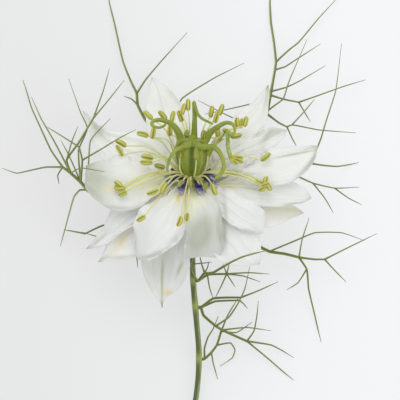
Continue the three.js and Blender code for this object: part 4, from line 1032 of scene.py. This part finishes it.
def build_pod():
    shape = Shape()
    angles = turns(POD_SIDES)
    profile = Curve([(r, a, 0) for a, r in POD_PROFILE]).even(np.linspace(0, 1, 40))
    rings = []
    for swell, share, _ in profile:
        wedge = abs(np.cos(POD_LOBES / 2 * (angles - math.pi / 2)))
        lobe = 1 - 2 * LOBE_DEPTH * (0.25 + 0.75 * share) * (1 - wedge**0.7)
        height = POD_FOOT + share * (POD_HEIGHT - POD_FOOT)
        rings.append([around(a, POD_RADIUS * swell * k, height) for a, k in zip(angles, lobe)])
    rings = capped(np.array(rings))
    lattice(shape, rings, 0.5, list(range(len(rings))))
    inside = around(0, 0, POD_HEIGHT * 0.72)
    for points, (base, end) in zip(HORNS, HORN_RADII):
        sunk = np.array(points[0]) * 0.55 + inside * 0.45
        line = [sunk] + points

        def slim(share):
            width = end + 0.17 * (1 - share) + (base - end - 0.17) * (1 - share) ** HORN_TAPER
            return float(width * (1 - 0.35 * smoothstep(share, 0.92, 1.0)))

        tube(shape, line, slim, 20, 0.25)
    piece = fused(shape, "seed_pod", pod_paint())
    mesh = piece.data
    places = np.empty(len(mesh.vertices) * 3, np.float32)
    mesh.vertices.foreach_get("co", places)
    places = places.reshape(-1, 3).astype(float)
    azimuth = np.arctan2(places @ BACK, places @ SIDE)
    reach = np.hypot(places @ BACK, places @ SIDE)
    height = places @ AXIS
    lobe = abs(np.cos(POD_LOBES / 2 * (azimuth - math.pi / 2)))
    body = 1 - smoothstep(height, POD_HEIGHT - 0.6, POD_HEIGHT + 0.8)
    # Painted shade in the furrows between the lobes and painted light on the lobes; the horns get a
    # middling tone
    tone = body * (0.12 + 0.73 * smoothstep(lobe, 0.12, 0.7)) + (1 - body) * 0.75
    keel = bump(lobe, 1, 0.02) * body * 0.35
    pale = keel + 0.3 * smoothstep(reach, 6.5, 9) * (height > 3) + 0.35 * (1 - smoothstep(height, 2.0, 3.4))
    add_mark(piece, "tone", tone)
    add_mark(piece, "pale", np.clip(pale, 0, 1))
    layer = mesh.uv_layers.new(name="UVMap")
    loops = np.empty(len(mesh.loops), np.int32)
    mesh.loops.foreach_get("vertex_index", loops)
    flat = np.stack([azimuth / (2 * math.pi) + 0.5, height / POD_HEIGHT], axis=1)[loops]
    layer.data.foreach_set("uv", flat.astype(np.float32).ravel())
    placed = (places + FLOWER_CENTRE) * MM
    mesh.vertices.foreach_set("co", placed.astype(np.float32).ravel())
    mesh.update()
    settle(piece, "young_seed_pod")


# Younger stamens, which still stand close to the pod, in rows like those of the ripe ones
YOUNG_STAMENS = [
    (1.05, 5.15, 7.4, 92, 1), (-2.2, 5, 6.2, 92, 0.6), (3.3, 5.5, 5.6, 96, 0.6),
    (-2.1, -0.7, 6.2, 232, 0.6), (-0.1, -0.8, 6.4, 272, 0.6), (1.6, 0.2, 6.5, 345, 0.75),
    (2.8, -1.3, 6, 255, 0.6), (-0.9, 9.3, 2.4, 70, 0.6), (2.5, 9.1, 3.6, 80, 0.7),
    (-6.2, 2.7, 5.2, 165, 0.9),
]
ANTHER_STATIONS = np.array([0.0, 0.04, 0.12, 0.25, 0.42, 0.6, 0.76, 0.88, 0.96, 1.0])
ANTHER_SWELL = np.array([0.2, 0.55, 0.86, 1.0, 1.02, 1.0, 0.94, 0.78, 0.5, 0.16])
ANTHER_SIDES = 22
STRAP_LINE = [
    (1.34, 1.6, 0), (4.2, 5.6, 0.4), (6.4, 8.8, 2.4), (7.1, 9.9, 4.2), (7.3, 8.6, 5.2), (7.4, 6.4, 5.3),
    (7.9, 4.5, 5),
]
STRAP_RADIUS = 0.36
YOUNG_YELLOW = 0.42
STRAP_SACS = [[-4, 2.7], [-24, 2.9], [-48, 2.2]]


def anther(shape, foot, heading, length, roll, rng, yellow=1.0):
    """Two pollen sacs side by side, each with a lengthwise seam."""
    upright = unit(np.cross(heading, [0.3, 0.2, 0.9]))
    other = np.cross(heading, upright)
    across = upright * math.cos(roll) + other * math.sin(roll)
    over = np.cross(heading, across)
    angles = (np.arange(ANTHER_SIDES) + 0.5) / ANTHER_SIDES * 2 * math.pi
    seam = bump(abs(np.sin(angles)), 0, 0.3)
    middle = bump(abs(np.cos(angles)), 0, 0.34)
    form = 1 - 0.2 * seam - 0.3 * middle
    bend = (rng.random() - 0.5) * 0.35
    rings = []
    for share, swell in zip(ANTHER_STATIONS, ANTHER_SWELL):
        centre = foot + heading * share * length + across * bend * math.sin(math.pi * share)
        width = swell * ANTHER_RADIUS * (0.8 + 0.2 * length / ANTHER_LENGTH)
        rings.append(
            centre
            + (width * form * np.cos(angles))[:, None] * across
            + (width * form * 0.86 * np.sin(angles))[:, None] * over
        )
    rings = capped(np.array(rings))
    tone = 1 - np.clip(seam * 0.7 + middle, 0, 1)
    tones = np.tile(tone * (0.75 + 0.25 * rng.random()) * yellow, len(rings))
    lattice(shape, rings, tones, list(np.linspace(0, length, len(rings))))


def build_stamens():
    rng = np.random.default_rng(71)
    stalks = Shape()
    sacs = Shape()
    for k, row in enumerate(STAMENS + YOUNG_STAMENS):
        ripe = k < len(STAMENS)
        centre = np.array(row[:3])
        azimuth = math.atan2(centre @ BACK, centre @ SIDE)
        reach = math.hypot(centre @ BACK, centre @ SIDE)
        height = centre @ AXIS
        turn = math.radians(row[3])
        heading = unit(np.array([math.cos(turn), math.sin(turn), -0.15]))
        length = ANTHER_LENGTH * (row[4] if len(row) > 4 else 1.0)
        foot = centre - heading * length / 2
        middle = max(reach * 0.62, 4.2)
        line = [
            around(azimuth, 1.5, 1.4),
            around(azimuth, 3.1, 2.1 + 0.08 * height),
            around(azimuth, middle, 2.0 + 0.66 * height),
            foot + heading * 0.25,
        ]
        if not ripe:
            line[2] = around(azimuth, max(reach, 3.4) * 0.98, 0.5 * (1.4 + height))
        tube(
            stalks, line, lambda share: FILAMENT_RADIUS * (1.15 - 0.4 * share), 8, 0.4,
            lambda shares: 0.35 + 0.4 * shares,
        )
        anther(sacs, foot, heading, length, rng.random() * math.pi, rng, 1.0 if ripe else YOUNG_YELLOW)

    # One stunted stamen: a broad green strap that droops, with three sacs spread like a hand
    end = np.array(STRAP_LINE[-1])

    def broad(share):
        return float(STRAP_RADIUS * (0.45 + 0.65 * smoothstep(share, 0.35, 0.6)))

    strap = Shape()
    tube(strap, STRAP_LINE, broad, 14, 0.3)
    for turn, length in STRAP_SACS:
        heading = unit(np.array([math.cos(math.radians(turn)), math.sin(math.radians(turn)), -0.1]))
        anther(sacs, end - heading * 0.2, heading, length, 0.3, rng, 0.9)
    settle(stalks.object("filaments", filament_paint()), "stamens")
    settle(sacs.object("anthers", anther_paint()), "stamens")
    settle(strap.object("drooping_strap", receptacle_paint("strap_green")), "stamens")


# Nectaries: each is a short stalk, a dark pouch, a broad two-lobed lip below and a narrow one above
POUCH_LINE = [(1.4, 0.6), (2.3, 0.85), (3.0, 1.1), (3.6, 1.15), (4.1, 0.85)]
POUCH_RADII = [0.26, 0.36, 0.56, 0.62, 0.5]
LIP_LINE = [(3.3, 0.7), (4.1, 0.42), (5.0, 0.08), (5.95, -0.4)]
TONGUE_LINE = [(3.4, 1.5), (4.0, 1.62), (4.6, 1.3)]
LIP_ROWS = 16
LIP_COLUMNS = 14
LIP_THICKNESS = 0.12
HAIRS = 22


def radial(azimuth, radius, along, aside):
    """A point at an azimuth, moved aside round the flower's axis."""
    sideways = -math.sin(azimuth) * SIDE + math.cos(azimuth) * BACK
    return around(azimuth, radius, along) + aside * sideways


def build_nectaries():
    rng = np.random.default_rng(29)
    cups = Shape()
    hairs = Shape()
    pales = []
    for k in range(NECTARY_COUNT):
        azimuth = (k + 0.5) / NECTARY_COUNT * 2 * math.pi
        line = [around(azimuth, r, a) for r, a in POUCH_LINE]
        before = cups.count
        widths = POUCH_RADII
        spans = len(widths) - 1

        def radius(share):
            return float(np.interp(share * spans, range(spans + 1), widths))

        tube(cups, line, radius, 20, 0.12, lambda shares: 0.1 + 0.3 * smoothstep(shares, 0.75, 1.0))
        pales.append(np.full(cups.count - before, 0.0))
        for route, half_width, lobes in ((LIP_LINE, 0.95, True), (TONGUE_LINE, 0.42, False)):
            curve = Curve([(r, a, 0) for r, a in route])
            shares = np.linspace(0, 1, LIP_ROWS)
            path = curve.even(shares)
            sides = np.linspace(-1, 1, LIP_COLUMNS)
            grid = np.empty((LIP_ROWS, LIP_COLUMNS, 3))
            for i, (reach, height, _) in enumerate(path):
                share = shares[i]
                width = half_width * (0.5 + 0.5 * math.sin(math.pi * min(1, share * 1.05)))
                for j, side in enumerate(sides):
                    cleft = 0.75 * share**2 * bump(side, 0, 0.3) if lobes else 0.25 * share**2 * side**2
                    curl = 0.28 * side**2 + 0.12 * math.cos(3 * math.pi * side) * share
                    grid[i, j] = radial(azimuth, reach - cleft, height + curl, side * width)
            before = cups.count
            edge = np.clip(shares[:, None] * 0.9 + 0.1 * sides[None, :] ** 2, 0, 1)
            marks = np.clip(0.15 + 1.1 * edge, 0, 1)
            thickness = np.full((LIP_ROWS, LIP_COLUMNS), LIP_THICKNESS)
            blade(cups, grid[:, ::-1], thickness, np.tile(marks[:, ::-1].ravel(), 2))
            fade = 0.95 * smoothstep(shares[:, None] + 0 * sides, 0.55, 1.0)
            pales.append(np.tile(fade.ravel(), 2))
            if not lobes:
                continue
            for _ in range(HAIRS):
                side = rng.uniform(-1, 1)
                i = int(rng.uniform(0.45, 0.97) * (LIP_ROWS - 1))
                j = int((side + 1) / 2 * (LIP_COLUMNS - 1))
                base = grid[i, j]
                out = unit(around(azimuth, 1, 0.8) + 0.5 * rng.normal(size=3))
                length = rng.uniform(0.4, 0.85)
                points = [base, base + out * length * 0.55, base + unit(out + 0.3 * AXIS) * length]
                tube(hairs, points, lambda share: 0.035 * (1 - 0.75 * share), 4, 0.3)
    piece = cups.object("nectary_cups", nectary_paint())
    add_mark(piece, "pale", np.concatenate(pales))
    settle(piece, "nectaries")
    settle(hairs.object("nectary_hairs", hair_paint()), "nectaries")


# Floor, lights and camera
FLOOR_HALF_WIDTH = 3.0
FLOOR_GAP = 0.2
SKY_COLOUR = (0.97, 0.985, 1.0, 1.0)
SKY_STRENGTH = 0.71
LAMP_SIZE = 420
LAMPS = [("key", (-60, 380, 460), 1.15, (1.0, 0.99, 0.97)), ("fill", (300, -80, 480), 0.5, (1.0, 1.0, 1.0))]
CAMERA_HEIGHT = 1000
CAMERA_FRAME = 80
CAMERA_AIM = (1.8, -4.0)
SENSOR = 36.0


def build_stage():
    floor = bpy.data.meshes.new("floor")
    half = FLOOR_HALF_WIDTH
    corners = [(-half, -half, 0), (half, -half, 0), (half, half, 0), (-half, half, 0)]
    floor.from_pydata(corners, [], [(0, 1, 2, 3)])
    floor.materials.append(floor_paint())
    piece = bpy.data.objects.new("floor", floor)
    piece.location.z = -FLOOR_GAP * MM
    bpy.context.scene.collection.objects.link(piece)


def area_light(name, place, power, colour):
    """A square lamp that faces the flower. Its place is in millimetres from the flower's centre."""
    data = bpy.data.lights.new(name, "AREA")
    data.size = LAMP_SIZE * MM
    data.energy = power
    data.color = colour
    lamp = bpy.data.objects.new(name, data)
    lamp.location = (FLOWER_CENTRE + np.array(place)) * MM
    to_flower = Vector([-v for v in place])
    lamp.rotation_euler = to_flower.to_track_quat("-Z", "Y").to_euler()
    bpy.context.scene.collection.objects.link(lamp)


def build_light():
    world = bpy.data.worlds.new("studio")
    world.use_nodes = True
    backdrop = world.node_tree.nodes["Background"]
    backdrop.inputs["Color"].default_value = SKY_COLOUR
    backdrop.inputs["Strength"].default_value = SKY_STRENGTH
    bpy.context.scene.world = world
    for lamp in LAMPS:
        area_light(*lamp)
    bpy.context.scene.view_settings.view_transform = "Standard"


def build_camera():
    data = bpy.data.cameras.new("camera")
    data.sensor_width = SENSOR
    data.lens = SENSOR * CAMERA_HEIGHT / CAMERA_FRAME
    data.clip_end = 10
    camera = bpy.data.objects.new("camera", data)
    aim = FLOWER_CENTRE + np.array([*CAMERA_AIM, CAMERA_HEIGHT])
    camera.location = aim * MM
    bpy.context.scene.collection.objects.link(camera)
    bpy.context.scene.camera = camera


build_camera()
build_light()
build_stage()
build_stem()
build_fronds()
build_sepals()
build_receptacle()
build_pod()
build_stamens()
build_nectaries()
